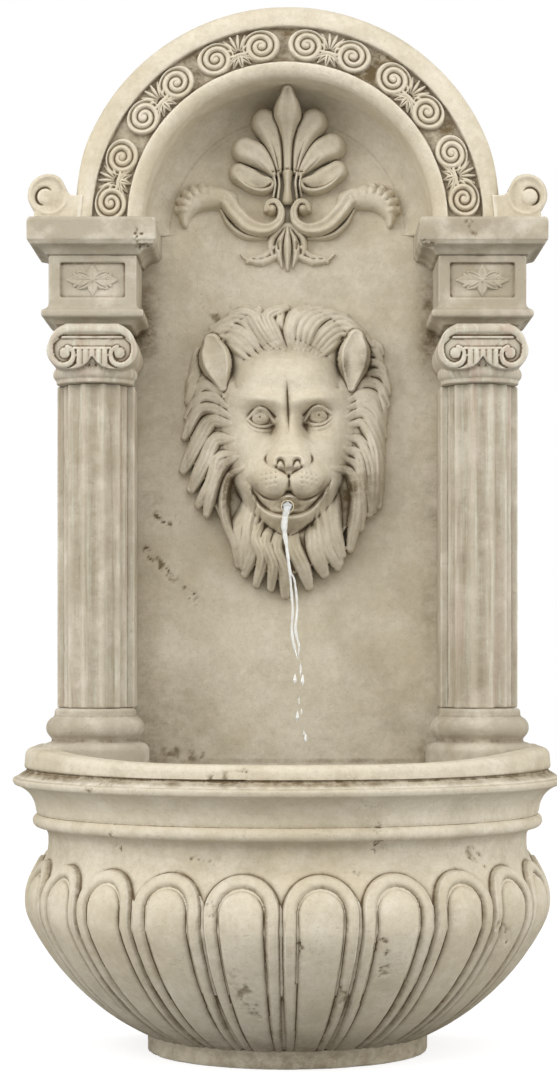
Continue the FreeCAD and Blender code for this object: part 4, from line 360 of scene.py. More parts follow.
def weathered(points, quads, roughness, seed, wear):
    """Stone's uneven face, worn edges and knocks. Returns the points and how scarred each is."""
    normals = normals_of(points, quads)
    close, _ = hollows(points, quads, normals)
    rough = layered(points, 26.0, seed, 3) * 0.55 + layered(points, 5.0, seed + 9, 2) * 0.45
    sunk = -roughness * rough
    edge = np.clip(-close, 0, 1.2)
    bites = smooth(layered(points, 16.0, seed + 20, 3), 0.10, 0.55)
    sunk += edge * wear * (0.4 + 2.6 * bites)
    scar = np.clip(edge * bites * 1.2 - 0.25, 0, 1) * 0.7
    for start, end, radius, depth in SCARS:
        start, run = np.array(start, float), np.subtract(end, start).astype(float)
        share = np.clip((points - start) @ run / (run @ run), 0, 1)
        gap = np.linalg.norm(points - start - share[:, None] * run, axis=1)
        near = gap < radius * 1.4
        if near.any():
            ragged = gap[near] * (1 + 0.5 * layered(points[near], radius * 0.5, seed + 31, 3))
            hit = smooth(-ragged, -radius, -radius * 0.4)
            crack = smooth(layered(points[near], radius * 0.9, seed + 40, 4), -0.05, 0.45)
            sunk[near] += depth * hit * (0.4 + 0.6 * crack)
            scar[near] = np.maximum(scar[near], hit * crack)
    return points - normals * sunk[:, None], scar


def stone_mesh(name, points, quads, roughness=0.22, wear=1.0, seed=3, dirt_and_shade=None, reach=22):
    points, scar = weathered(points, quads, roughness, seed, wear)
    close, wide = hollows(points, quads, normals_of(points, quads), reach)
    mesh = mesh_of(name, points, quads)
    stain_and_shade = stains_and_shade(points)
    # Extra darkening given for the piece: dirt with painted shade in its hollows and grooves.
    if dirt_and_shade is not None:
        stain_and_shade = np.maximum(stain_and_shade, dirt_and_shade * (0.7 + 0.5 * layered(points, 22.0, seed + 60, 3)))
    kept = {"close": close, "wide": wide, "scar": scar, "stain_and_shade": np.clip(stain_and_shade, 0, 1)}
    for key, values in kept.items():
        mesh.attributes.new(key, "FLOAT", "POINT").data.foreach_set("value", values.astype(np.float32))
    return mesh


def remeshed(node, voxel):
    """A node's solid as an even skin of small quads, in millimetres."""
    blank = bpy.data.objects.new("blank", frame["nodes"][node].data.copy())
    scene.collection.objects.link(blank)
    change = blank.modifiers.new("even", "REMESH")
    change.mode = "VOXEL"
    change.voxel_size = voxel * MM
    graph = bpy.context.evaluated_depsgraph_get()
    mesh = bpy.data.meshes.new_from_object(blank.evaluated_get(graph))
    points = np.empty(len(mesh.vertices) * 3, dtype=np.float32)
    mesh.vertices.foreach_get("co", points)
    quads = np.empty(len(mesh.loops), dtype=np.int32)
    mesh.loops.foreach_get("vertex_index", quads)
    source = blank.data
    bpy.data.objects.remove(blank)
    bpy.data.meshes.remove(source)
    bpy.data.meshes.remove(mesh)
    return points.reshape(-1, 3).astype(float) / MM, quads.reshape(-1, 4).astype(np.int64)


def aged(node, voxel=1.0, soften=2, material=None, roughness=0.22, wear=1.0, seed=3, change=None,
         slot="cast_stone", dirt_and_shade=None):
    points, quads = remeshed(node, voxel)
    points = relaxed(points, quads, soften)
    if change:
        points = change(points)
    mesh = stone_mesh("aged_" + node, points, quads, roughness, wear, seed, dirt_and_shade(points) if dirt_and_shade else None)
    return piece("aged_" + node, mesh, material or STONE, slot, node)


# Reliefs: heights drawn as strokes over a flat drawing


def spline(line, step):
    """A smooth line through the points, and how far along it each of its own points lies."""
    line = np.array(line, float)
    if len(line) == 2:
        line = np.array([line[0], line.mean(axis=0), line[1]])
    before = np.vstack([2 * line[0] - line[1], line, 2 * line[-1] - line[-2]])
    out = []
    for a, b, c, d in zip(before, before[1:], before[2:], before[3:]):
        count = max(int(math.ceil(np.linalg.norm(c - b) / step)), 1)
        t = (np.arange(count) / count)[:, None]
        out.append(0.5 * (2 * b + (c - a) * t + (2 * a - 5 * b + 4 * c - d) * t**2
                          + (3 * b - a - 3 * c + d) * t**3))
    out = np.vstack(out + [line[-1:]])
    gone = np.concatenate([[0], np.cumsum(np.linalg.norm(np.diff(out, axis=0), axis=1))])
    return out, gone


def along(values, share):
    """Values spread evenly along a stroke, joined smoothly and read at each share of its length."""
    values = np.atleast_1d(values).astype(float)
    if len(values) == 1:
        return np.full(np.shape(share), values[0])
    place = np.clip(share, 0, 1) * (len(values) - 1)
    first = np.minimum(place.astype(int), len(values) - 2)
    t = place - first
    ends = np.concatenate([[2 * values[0] - values[1]], values, [2 * values[-1] - values[-2]]])
    a, b, c, d = ends[first], ends[first + 1], ends[first + 2], ends[first + 3]
    out = 0.5 * (2 * b + (c - a) * t + (2 * a - 5 * b + 4 * c - d) * t**2 + (3 * b - a - 3 * c + d) * t**3)
    return np.maximum(out, 0)


def joined(first, second, soft):
    """The larger of two heights, with a soft valley where they meet."""
    return (first + second + np.sqrt((first - second) ** 2 + soft**2)) / 2


def softened(height, steps):
    """Heights evened out with their neighbours, leaving the bare ground alone."""
    bare = height < -1
    for _ in range(steps):
        wide = np.pad(np.where(bare, 0, height), 1, mode="edge")
        mean = (wide[:-2, 1:-1] + wide[2:, 1:-1] + wide[1:-1, :-2] + wide[1:-1, 2:]) / 4
        height = np.where(bare, height, height * 0.4 + mean * 0.6)
    return height


class Relief:
    """Heights over a drawing, in millimetres: u to the right, v up. Below zero there is nothing."""

    def __init__(self, left, right, low, high, step, net=1.0):
        self.step = step
        self.left, self.low = left, low
        self.u, self.v = np.meshgrid(np.arange(left, right, step), np.arange(low, high, step))
        self.height = np.full(self.u.shape, -2.0)
        self.ground = np.zeros(self.u.shape)
        # Lines are drawn from this origin, in this unit, and mirrored with side -1
        self.origin, self.net, self.side = (0, 0), net, 1

    def window(self, line, reach):
        rows, columns = self.u.shape
        first = np.floor((line.min(axis=0) - reach - (self.left, self.low)) / self.step).astype(int)
        last = np.ceil((line.max(axis=0) + reach - (self.left, self.low)) / self.step).astype(int)
        first = np.maximum(first, 0)
        last = np.minimum(last, (columns, rows))
        return slice(first[1], max(last[1], first[1])), slice(first[0], max(last[0], first[0]))

    def measure(self, line, reach):
        """For the points near a line: their window, distance, share along it and side."""
        line = np.array(line, float) * (self.side * self.net, self.net) + self.origin
        line, gone = spline(line, max(self.step * 2, 0.8))
        area = self.window(line, reach)
        u, v = self.u[area], self.v[area]
        best = np.full(u.shape, 1e9)
        share = np.zeros(u.shape)
        side = np.zeros(u.shape)
        for start, end, begun in zip(line, line[1:], gone):
            run = end - start
            length = max(np.hypot(*run), 1e-9)
            t = np.clip(((u - start[0]) * run[0] + (v - start[1]) * run[1]) / length**2, 0, 1)
            gap_u = u - start[0] - run[0] * t
            gap_v = v - start[1] - run[1] * t
            gap = np.hypot(gap_u, gap_v)
            nearer = gap < best
            best[nearer] = gap[nearer]
            share[nearer] = (begun + t[nearer] * length) / gone[-1]
            side[nearer] = np.sign(run[0] * gap_v - run[1] * gap_u)[nearer]
        return area, best, share, side

    def stroke(self, line, width, high, shape="round", strands=0, groove=0.3, flat=None, blend=0.0):
        """A raised stroke: half widths and heights along it, over the ground or at a flat level."""
        area, gap, share, side = self.measure(line, np.max(width) + self.step)
        half = np.maximum(along(width, share), 1e-6)
        q = gap / half
        inside = q < 1
        across = np.clip(side * q, -1, 1)
        form = np.sqrt(np.clip(1 - q * q, 0, 1))
        if shape == "leaf":
            form = form * (1 - 0.45 * hill(across, 0, 0.16))
        elif shape == "ear":
            form = smooth(1 - q, 0, 0.3) * (0.64 + 0.36 * np.clip(q, 0, 1) ** 2)
        elif shape == "pillow":
            form = np.clip(1 - q**3, 0, 1) ** 0.45 * (1 - 0.14 * hill(q, 0, 0.5))
        if strands:
            wave = 0.5 - 0.5 * np.cos(2 * math.pi * strands * (across * 0.5 + 0.5) + math.pi)
            form = form - groove * wave * smooth(1 - q, 0.0, 0.3)
        base = self.ground[area] if flat is None else flat
        value = np.where(inside, base + along(high, share) * form, -2.0)
        before = self.height[area]
        if blend:
            value = np.where(inside, joined(before, value, blend * smooth(1 - q, 0.0, 0.35)), before)
        self.height[area] = np.maximum(before, value)

    def cut(self, line, width, deep, soft=2.0):
        """A groove along a line: the half width and depth along it."""
        area, gap, share, _ = self.measure(line, np.max(width) * 2.5 + self.step)
        q = gap / np.maximum(along(width, share), 1e-6)
        self.height[area] -= along(deep, share) * np.exp(-(q**soft))

    def swell(self, at, size, high, turn=0.0, power=2.0):
        """A soft mound or dent, added to what is there."""
        c, s = math.cos(math.radians(turn)), math.sin(math.radians(turn))
        x = ((self.u - at[0]) * c + (self.v - at[1]) * s) / size[0]
        y = (-(self.u - at[0]) * s + (self.v - at[1]) * c) / size[1]
        return high * np.exp(-(np.hypot(x, y) ** power))

    def locks(self, first, last, count, width, high, strands, seed, lift):
        """Locks of hair between two guiding lines, each a little different."""
        for k in range(count):
            t = k / max(count - 1, 1)
            line = first * (1 - t) + last * t
            place = np.array([[k * 7.3 + seed * 31.7, j * 3.1, seed * 1.7] for j in range(len(line))])
            shift = np.stack([noise(place, 1.0, seed), noise(place, 1.0, seed + 50)], axis=1)
            line = line + shift * 2.4 * np.linspace(0.3, 1, len(line))[:, None]
            size = 1 + 0.25 * noise(place[:1] + 9, 1.0, seed + 7)[0]
            raised = 0.8 * high + lift + 1.4 * noise(place[:1] + 5, 1.0, seed + 11)[0]
            widths = np.array([0.35, 0.85, 1.0, 1.0, 0.92, 0.62]) * width * size
            heights = np.array([0.02, 0.55, 0.9, 1.0, 0.85, 0.42]) * raised
            self.stroke(line, widths, heights, "round", strands, 0.14, blend=2.6)

    def at(self, u, v):
        """The height at any places of the drawing, and nothing outside it."""
        rows, columns = self.u.shape
        x = (u - self.left) / self.step
        y = (v - self.low) / self.step
        inside = (x >= 0) & (x < columns - 1.01) & (y >= 0) & (y < rows - 1.01)
        x = np.clip(x, 0, columns - 1.01)
        y = np.clip(y, 0, rows - 1.01)
        i, j = x.astype(int), y.astype(int)
        s, t = x - i, y - j
        low = self.height[j, i] * (1 - s) + self.height[j, i + 1] * s
        high = self.height[j + 1, i] * (1 - s) + self.height[j + 1, i + 1] * s
        return np.where(inside, low * (1 - t) + high * t, 0.0)


# Carvings as pieces


def carving(name, relief, place, node=None, seed=3, dirt_and_shade=None, material=None):
    """A relief as a skin. place turns its u, v and height into x, y and z."""
    quads = grid_faces(*relief.u.shape)
    height = relief.height.ravel()
    quads = quads[(height[quads] > 0).any(axis=1)]
    used, quads = np.unique(quads, return_inverse=True)
    quads = quads.reshape(-1, 4)
    u, v, height = relief.u.ravel()[used], relief.v.ravel()[used], height[used]
    points = np.stack(place(u, v, height), axis=1)
    lying = dirt_and_shade(relief).ravel()[used] if dirt_and_shade else None
    mesh = stone_mesh(name, points, quads, 0.12, 0.5, seed, lying, 50)
    return piece(name, mesh, material or STONE, "cast_stone", *([node] if node else []))


def upright(x, y, z):
    """Places a relief on an upright face that looks forwards."""
    return lambda u, v, height: (x + u, y - height, z + v)


def carved(node, voxel, relief, x, z, side=1, material=None, seed=3, tuck=False):
    """A node's own shape with a relief cut into its front."""
    points, quads = remeshed(node, voxel)
    points = relaxed(points, quads, 2)
    normals = normals_of(points, quads)
    facing = smooth(-normals[:, 1], 0.45, 0.85)
    points[:, 1] -= relief.at((points[:, 0] - x) * side, points[:, 2] - z) * facing
    if tuck:
        # Its inner end is let into the arch, and a notch is left above it
        far = np.abs(points[:, 0])
        points[:, 1] -= 1.5 * smooth(-far, -172, -163) * facing
        points[:, 2] -= 9.0 * smooth(points[:, 2], 645, 657) * hill(far, 163.5, 4.5)
        points[:, 0] -= np.sign(x) * 6.0 * smooth(-far, -164, -160.5)
    mesh = stone_mesh("carved_" + node, points, quads, 0.15, 0.6, seed)
    return piece("carved_" + node, mesh, material or STONE, "cast_stone", node)


# Camera and light

EYE = 2.020
EYE_LEVEL = 0.3018
SENSOR = 36.0
# The size of a pixel at the frame's origin; the photograph's middle, and the pixel straight ahead of the eye
PIXEL = 0.0007602
PHOTO_HEIGHT = 1080
PHOTO_MIDDLE = (278.5, 540.0)
STRAIGHT_AHEAD = (287.5, 651.0)
camera = bpy.data.cameras.new("camera")
camera.sensor_fit = "VERTICAL"
camera.sensor_height = SENSOR
camera.lens = SENSOR * EYE / PIXEL / PHOTO_HEIGHT
camera.shift_x = (PHOTO_MIDDLE[0] - STRAIGHT_AHEAD[0]) / PHOTO_HEIGHT
camera.shift_y = (STRAIGHT_AHEAD[1] - PHOTO_MIDDLE[1]) / PHOTO_HEIGHT
eye = bpy.data.objects.new("camera", camera)
eye.location = (0, -EYE, EYE_LEVEL)
eye.rotation_euler = (math.radians(90), 0, 0)
scene.collection.objects.link(eye)
scene.camera = eye

# Lamps: place, aim, width, height and power
LAMPS = {
    "left_lamp": ((-1.75, -1.1, 1.25), (0, 0, 0.4), 1.2, 1.8, 30),
    "right_lamp": ((1.8, -0.8, 1.0), (0, 0, 0.35), 1.2, 1.8, 24),
    "top_lamp": ((-0.15, -1.8, 1.55), (0, 0, 0.5), 1.6, 1.2, 16),
}
for name, (place, aim, width, height, power) in LAMPS.items():
    light = bpy.data.lights.new(name, "AREA")
    light.shape = "RECTANGLE"
    light.size, light.size_y, light.energy = width, height, power
    lamp = bpy.data.objects.new(name, light)
    lamp.location = place
    lamp.rotation_euler = (Vector(aim) - Vector(place)).to_track_quat("-Z", "Y").to_euler()
    scene.collection.objects.link(lamp)

# The world and the floor look white to the camera, and light the fountain less than that
WHITE = (1, 1, 1, 1)
DIM = 0.63
GLOW = 0.74
w = Nodes(bpy.data.worlds.new("studio"))
scene.world = w.holder
w.tree.nodes.clear()
dim, full = (w.new("Background", {"Color": WHITE, "Strength": light}).outputs[0] for light in (DIM, 1.0))
either = w.new("MixShader", {0: w.seen_straight(), 1: dim, 2: full})
w.new("OutputWorld", {0: either.outputs[0]})

corners = [(-4000, -3000, 0), (4000, -3000, 0), (4000, 5000, 0), (-4000, 5000, 0)]
floor_mesh = mesh_of("floor", np.array(corners, float), np.array([[0, 1, 2, 3]]))
floor = bpy.data.objects.new("floor", floor_mesh)
scene.collection.objects.link(floor)
f = Nodes(bpy.data.materials.new("floor"))
glow = f.math("MULTIPLY", f.seen_straight(), GLOW)
f.fill(f.shader, {"Base Color": (0.42, 0.42, 0.42, 1), "Roughness": 0.9, "Specular IOR Level": 0.0,
                  "Emission Color": WHITE, "Emission Strength": glow})
floor_mesh.materials.append(f.holder)

# Outlines

QUARTER = math.tan(math.radians(22.5))
SOFT = 0.3
FAINT = 0.15


def outline(corners, step):
    """Points along an outline. A corner's third number rounds the stretch that ends at it."""
    out = [corners[0][:2]]
    for before, corner in zip(corners, corners[1:]):
        start, end = np.array(before[:2], float), np.array(corner[:2], float)
        bulge = corner[2] if len(corner) > 2 else 0.0
        chord = end - start
        reach = np.linalg.norm(chord)
        count = max(int(math.ceil(reach * (1 + bulge * bulge) / step)), 1)
        share = np.arange(1, count + 1) / count
        if not bulge:
            out += [tuple(start + chord * t) for t in share]
            continue
        sag = bulge * reach / 2
        radius = (reach * reach / 4 + sag * sag) / (2 * sag)
        right = np.array([chord[1], -chord[0]]) / reach
        centre = (start + end) / 2 + right * (sag - radius)
        first = math.atan2(*(start - centre)[::-1])
        turn = 4 * math.atan(bulge)
        for t in share:
            angle = first + turn * t
            offset = np.array([math.cos(angle), math.sin(angle)]) * abs(radius)
            out.append(tuple(centre + offset))
    return np.array(out)


# Basin: the outside of the bowl with its tongues, over the plain inside

WIDEST = 194.5
BASIN_OUTSIDE = [
    (97, 14.3), (105, 14.3), (WIDEST, 108, 0.185), (WIDEST, 116), (188, 138, FAINT), (181, 157, -FAINT),
    (181, 163.5), (189, 170, -QUARTER), (189, 179.5, 0.8), (190, 181.5), (190.5, 184), (205.5, 201.5, -SOFT),
    (207.5, 203.5, SOFT), (207.5, 206.5, SOFT), (197, 213.5, -0.22), (199, 215.5, SOFT), (198.3, 224),
    (194, 229, SOFT), (181.5, 229), (176.3, 224, SOFT), (176.3, 219),
]
PITCH = math.radians(16.36)
TONGUES = 10
TURN = math.radians(1.3)
TONGUE_TOP = 120.0
BAND_SHARE = 0.37
ARC_STEPS = 720
FLANK_STEP = 0.85


def tongue_half_width(level):
    """Half the width of a tongue at each level, from the foot to where its round top begins."""
    return np.interp(level, [14, 38, 61, 85, 108, 120], [13.4, 18.5, 22.3, 25.0, 26.4, 26.6])


def tongue_height(across, level):
    """How high the tongues are, as a share of how far they stand out, and the dirt with painted shade in
    their grooves.
    """
    half = tongue_half_width(level)
    inside = half - np.where(level < TONGUE_TOP, np.abs(across), np.hypot(across, level - TONGUE_TOP))
    band = BAND_SHARE * half
    rise = smooth(inside, -0.8, 1.6)
    swell = 0.06 * np.sin(np.clip(inside / band, 0, 1) * math.pi)
    t = np.clip((inside - band) / (half - band), 0, 1)
    pillow = 0.42 + 0.66 * np.sqrt(1 - (1 - t) ** 2)
    height = rise * np.where(inside < band, 1.0 + swell, np.minimum(pillow, 1.1))
    dirt_and_shade = np.maximum(0.95 * hill(inside, band, 1.9), 0.9 * hill(inside, -0.4, 2.2))
    # Painted shade: the grooves darker on one side of each tongue than on the other.
    return height - rise * hill(inside, band, 1.7) * 0.55, dirt_and_shade * (0.8 + 0.2 * np.sign(across))


def rim_dip(forward, level):
    """The rim's front sags a little below its ends."""
    return 6.0 * smooth(forward, 0.3, 0.95) * smooth(level, 211, 222)


def basin_skin():
    profile = outline(BASIN_OUTSIDE, 0.7)
    # The belly turns evenly from under its widest level
    belly = smooth(profile[:, 1], 50, 90) * smooth(-profile[:, 1], -152, -138)
    belly = (belly * (profile[:, 0] > 150))[1:-1, None]
    for _ in range(220):
        profile[1:-1] += 0.5 * belly * ((profile[:-2] + profile[2:]) / 2 - profile[1:-1])
    along = np.gradient(profile, axis=0)
    along /= np.linalg.norm(along, axis=1)[:, None]
    # Each column: its angle, how far it is along the straight side, and how far it is folded in
    quarter = math.pi / 2
    flank = [(y, 0.0) for y in np.arange(FLANK_STEP, WALL, FLANK_STEP)]
    flank += [(WALL, -depth) for depth in (0.0, *np.linspace(1, 9, 7))]
    columns = [(-quarter, *one) for one in flank[::-1]]
    columns += [(angle, 0.0, 0.0) for angle in np.linspace(-quarter, quarter, ARC_STEPS + 1)]
    columns += [(quarter, *one) for one in flank]
    angle, straight, folded = np.array(columns).T
    radius, level = profile[:, :1], profile[:, 1:]
    # The tongue that each point is on, and how far it is from its middle line
    turned = angle + TURN * (1 - (angle * 2 / math.pi) ** 2)
    centre = (np.floor(turned / PITCH) + 0.5) * PITCH
    on_corner = (np.abs(angle) > PITCH * TONGUES / 2) | (straight > 0)
    apart = WIDEST * PITCH
    beside = radius * np.sin(np.abs(angle) - quarter) + straight - np.where(straight > apart / 2, apart, 0)
    across = np.where(on_corner, beside, radius * np.sin(turned - centre))
    raise_by = np.interp(level, [14, 108, 122, 145, 155], [1.6, 4.5, 4.5, 3.8, 2.0])
    raise_by = np.where((level < 153) & (np.arange(len(profile)) > 8)[:, None], raise_by, 0)
    height, dirt_and_shade = tongue_height(across, level)
    # Painted shade with dirt: a dark band under the rim's top, and the neck under the lip a little darker.
    band = 1.6 * hill(level, 211.2, 3.3) * (radius > 190)
    neck = 0.2 * smooth(level, 140, 150) * smooth(-level, -172, -165)
    dirt_and_shade = most(dirt_and_shade * (raise_by > 0), band, neck)
    height = raise_by * height + folded
    r = radius + along[:, 1:] * height
    z = level - along[:, :1] * height - rim_dip(np.cos(angle) * (straight <= 0), level)
    points = np.stack([r * np.sin(angle), -r * np.cos(angle) + straight, z], axis=-1).reshape(-1, 3)
    quads = grid_faces(*z.shape)
    points = relaxed(points, quads, 1, 0.35)
    mesh = stone_mesh("basin_outside", points, quads, 0.25, 0.8, 5, dirt_and_shade.ravel())
    piece("basin_outside", mesh, STONE, "cast_stone")


def basin_core():
    points, quads = remeshed("basin", 2.0)
    points = relaxed(points, quads, 1)
    reach = np.where(points[:, 1] < 0, np.hypot(points[:, 0], points[:, 1]), np.abs(points[:, 0]))
    profile = outline(BASIN_OUTSIDE[1:18], 1.0)
    order = np.argsort(profile[:, 1], kind="stable")
    limit = np.interp(points[:, 2], profile[order, 1], profile[order, 0])
    skin = reach > limit - 7
    flat_out = np.where(points[:, 1] < 0, 1, 0)
    share = np.where(skin, 4.0, 0) / np.maximum(reach, 1)
    points[:, 0] -= points[:, 0] * share
    points[:, 1] -= points[:, 1] * share * flat_out
    rim = (points[:, 2] > 225) & (reach > 175)
    points[rim, 2] -= 3.0
    low = (points[:, 2] < 60) & skin
    points[low, 2] += 3.0
    forward = -points[:, 1] / np.maximum(reach, 1) * (points[:, 1] < 0) * smooth(reach, 150, 172)
    points[:, 2] -= rim_dip(forward, points[:, 2])
    mesh = stone_mesh("basin_inside", points, quads, 0.3, 0.5, 8)
    piece("basin_inside", mesh, STONE, "cast_stone", "basin")


# The lion's head

MASK_NET = 1.6156
MASK_Z = 460.0

# Groups of locks: the first and last guiding line from root to tip, then how many, half width,
# height, strands and lift
MANE = [
    # round the crown, behind everything
    ([(-38, 36), (-42, 37), (-45, 33), (-48, 26)], [(-31, 27), (-38, 31), (-44, 30), (-47, 22)],
     3, 5.0, 8, 2, 0.0),
    ([(37, 48), (40, 50), (43, 49), (45, 45)], [(36, 33), (41, 36), (46, 34), (48.5, 27)],
     4, 3.8, 8, 2, 0.0),
    ([(-39, 47), (-43, 46), (-45, 41), (-46, 36)], [(-37, 37), (-42, 38), (-45, 35), (-47, 30)],
     2, 4.2, 7, 2, 0.0),
    # the sides, upper
    ([(-31, 24), (-37, 29), (-42, 29), (-47, 22)], [(-28, 14), (-36, 18), (-44, 17), (-49, 6)],
     3, 5.4, 10, 2, 1.0),
    ([(31, 26), (37, 30), (44, 30), (48, 21)], [(29, 14), (37, 16), (42, 9), (45, -3)],
     4, 5.4, 10, 2, 1.0),
    # the sides, long
    ([(-28, 10), (-37, 12), (-43, 2), (-49.5, -11)], [(-25, -4), (-33, -7), (-37, -17), (-43.5, -27)],
     3, 6.2, 11, 3, 1.5),
    ([(30, 10), (37, 10), (42, -2), (44.5, -27)], [(27, -2), (34, -5), (37.5, -17), (38.5, -32)],
     3, 6.2, 11, 3, 1.5),
    # jaw and beard
    ([(-18, -20), (-20, -30), (-24, -40), (-23, -56)], [(-14, -30), (-17, -40), (-16, -50), (-21.5, -60.5)],
     3, 4.8, 9, 2, 0.5),
    ([(22, -17), (22, -28), (22, -40), (26, -52)], [(15, -30), (16, -40), (19, -50), (24.5, -58)],
     3, 5.0, 9, 2, 0.5),
    # down to the beard, outside the hollows beside the mouth
    ([(-24, -6), (-31, -10), (-35.5, -20), (-38.5, -32)], [(-21, -11), (-28.5, -16), (-30, -32), (-26, -49)],
     2, 5.2, 13, 2, 2.5),
    ([(27, -6), (34, -11), (36, -25), (34.5, -40)], [(22, -11), (30.5, -14), (33, -28), (30, -50)],
     2, 5.2, 13, 2, 2.5),
    ([(-12, -36), (-15, -44), (-12, -54), (-15, -66)], [(-3, -40), (-5.5, -49), (-1.5, -60), (-1, -70)],
     3, 5.6, 11, 3, 2.0),
    ([(4, -40), (3, -48), (8, -58), (9.7, -66)], [(12, -36), (13, -44), (13, -52), (18, -60)],
     2, 5.8, 11, 3, 2.0),
    # the crown, parted over the brow and swept down behind the ears
    ([(-19, 42), (-27, 49), (-34, 52), (-42, 46)], [(-9, 46), (-16, 56), (-25, 61), (-36, 57)],
     4, 4.9, 10, 2, 1.5),
    ([(16, 43), (24, 51), (33, 53), (43, 46)], [(10, 46), (17, 56), (26, 61), (37, 56)],
     4, 4.9, 10, 2, 1.5),
    ([(-8, 47), (-14, 57), (-19, 64), (-27, 64)], [(-1.5, 46), (-7, 56), (-8.5, 64), (-1, 68)],
     3, 5.6, 12, 3, 2.0),
    ([(8, 46), (12, 57), (19, 63), (28, 63)], [(1.5, 47), (1.5, 57), (4, 64), (10, 67.6)],
     4, 5.2, 12, 2, 2.0),
    ([(-3, 54), (-4, 60), (-3, 66)], [(2, 54), (1.5, 60), (4, 66)], 2, 3.8, 9, 2, 1.0),
]


def lion_relief():
    r = Relief(-88, 88, -120, 118, 0.55)
    u, v = r.u, r.v
    middle = 1.0
    # The mane's dome, falling to its rim
    q = np.hypot((u + 1) / 77, (v + 3) / 114)
    mane = 5 + 25 * np.clip(1 - q**2.2, 0, 1) ** 0.75
    for side in (-1, 1):
        mane -= r.swell((side * 37, -40), (8, 17), 10, side * 12)
    # The face
    wide = np.interp(v, [-66, -50, -30, 0, 30, 60, 84], [20, 31, 43, 51, 54, 50, 40])
    face_q = np.maximum(np.abs(u) / wide, 0)
    face_q = np.hypot(face_q, np.where(v > 30, (v - 30) / 54, np.where(v < -40, (v + 40) / 30, 0)))
    face = 40 * np.clip(1 - face_q**3.4, 0, 1) ** 0.5
    face += r.swell((0, 50), (36, 18), 3)
    for side, eye_v in ((-1, 21), (1, 22.5)):
        face += r.swell((side * 21, 34), (17, 6.5), 9.0, side * 7)
        face += r.swell((side * 17, 54), (14, 11), 2.5)
        face -= r.swell((side * 22, eye_v), (14, 8), 9)
        face -= r.swell((side * 13, eye_v - 7), (6.5, 9), 8.0, side * 20)
        face += r.swell((side * 36, 2), (13, 20), 4)
    face += r.swell((middle, -22), (36, 25), 13, power=3.2)
    bridge = np.interp(v, [-22, -12, 0, 12, 24, 40], [6, 11, 11, 8, 4, 0])
    breadth = np.interp(v, [-22, -12, 0, 12, 24, 40], [16, 16, 15, 12, 9, 10])
    face += bridge * np.exp(-((np.abs(u - middle) / breadth) ** 4))
    for side in (-1, 1):
        face += r.swell((middle + side * 15, -27), (14, 11.5), 8, side * 14, power=2.6)
    face += r.swell((middle, -57), (23, 9), 7, power=3)
    r.ground = joined(mane, face * smooth(1 - face_q, 0, 0.05), 7.0)
    round_by = np.where(v > 0, 3.2, 1.7)
    rim = (np.abs((u + 1) / 79) ** round_by + np.abs((v + 3) / 115) ** round_by) ** (1 / round_by)
    r.height = np.where(rim < np.where(v > 0, 0.95, 0.84), r.ground, -2.0)
    for first, last, count, width, high, strands, lift in MANE:
        seed = int(abs(first[0][0] * 7 + first[0][1] * 3)) + count
        r.locks(*(np.array([first, last]) * MASK_NET), count, width, high, strands, seed, lift)
    # Ears
    for side, ear in ((-1, [(-31, 28), (-34, 39), (-36.5, 50)]), (1, [(30.5, 28), (31.5, 39), (33, 52)])):
        line = np.array(ear) * MASK_NET
        r.cut(line - (side * 11, 0), [3.0, 4.5, 2.0], [4, 9, 4])
        r.stroke(line, [3.5, 7.5, 11, 12.5, 11.5, 7.0], [6, 10, 12, 12.5, 11, 8], "ear", flat=20)
    # Muzzle: nose pad, nostrils, whisker pits, lips
    r.height += r.swell((middle, -14.5), (16, 6.0), 4.0, power=6)
    r.origin = (middle, 0)
    for r.side in (-1, 1):
        r.cut([(3.0, -19), (4.6, -14.5), (7.6, -14.0), (9.2, -18.5)], [1.0, 1.7, 1.7, 1.0], [2, 5, 5, 2])
        r.cut([(10, -19), (5, -22), (0, -26)], 1.3, 2.4)
        r.cut([(16.5, -8), (17.5, -13), (15, -18)], 1.5, [1.5, 4.5, 1.5])
        r.cut([(1.5, -37), (5, -40.5), (11, -42), (21, -38.5), (31.5, -27.5)], [1.4, 1.6, 1.5, 1.4, 2.4],
              [5, 5, 5, 3, 2])
        for row, count in ((-23, 4), (-27, 4), (-31, 3)):
            for k in range(count):
                r.height -= r.swell((middle + r.side * (10 + 3.6 * k), row - 0.6 * k), (0.9, 0.9), 1.3)
    r.cut([(0, -25), (0.3, -30), (0, -37)], [1.0, 1.5, 2.6], [2, 4, 7])
    r.origin = (0, 0)
    r.cut([(-31.2, -28.4), (-25.5, -37), (-19.5, -46), (-11, -51.9), (1.1, -53.5), (13.2, -51.1), (23, -42),
           (33.5, -27.5)], [2.4, 1.6, 1.6, 1.6, 1.8, 1.6, 1.6, 2.4], [1, 2.5, 5, 6, 6, 5, 2.5, 1])
    # The open mouth with its tongue
    r.cut([(-28, -32), (-21, -41), (-12, -46), (1, -46.5), (13, -45.5), (22, -40), (30, -31)],
          [1.8, 3.4, 4.6, 5.0, 4.6, 3.4, 1.8], [1, 4, 8, 9, 8, 4, 1], 4)
    hole = np.hypot((u - middle) / 12.5, (v + 46.2) / 5.8)
    r.height -= 4 * smooth(1 - hole, 0.0, 0.35)
    r.height += r.swell((middle, -46.0), (10, 5.2), 12, power=4)
    # Lower lip and chin
    r.ground = r.height.copy()
    r.stroke([(-27, -38), (-20.5, -49), (-11, -56), (1.1, -57.8), (13.2, -55.2), (23, -47), (30, -35)],
             [0.7, 1.5, 2.6, 3.2, 2.6, 1.5, 0.7], [0.5, 1.6, 3.2, 4, 3.2, 1.6, 0.5])
    r.cut([(-17, -62), (0, -66), (18, -61)], 3, 4)
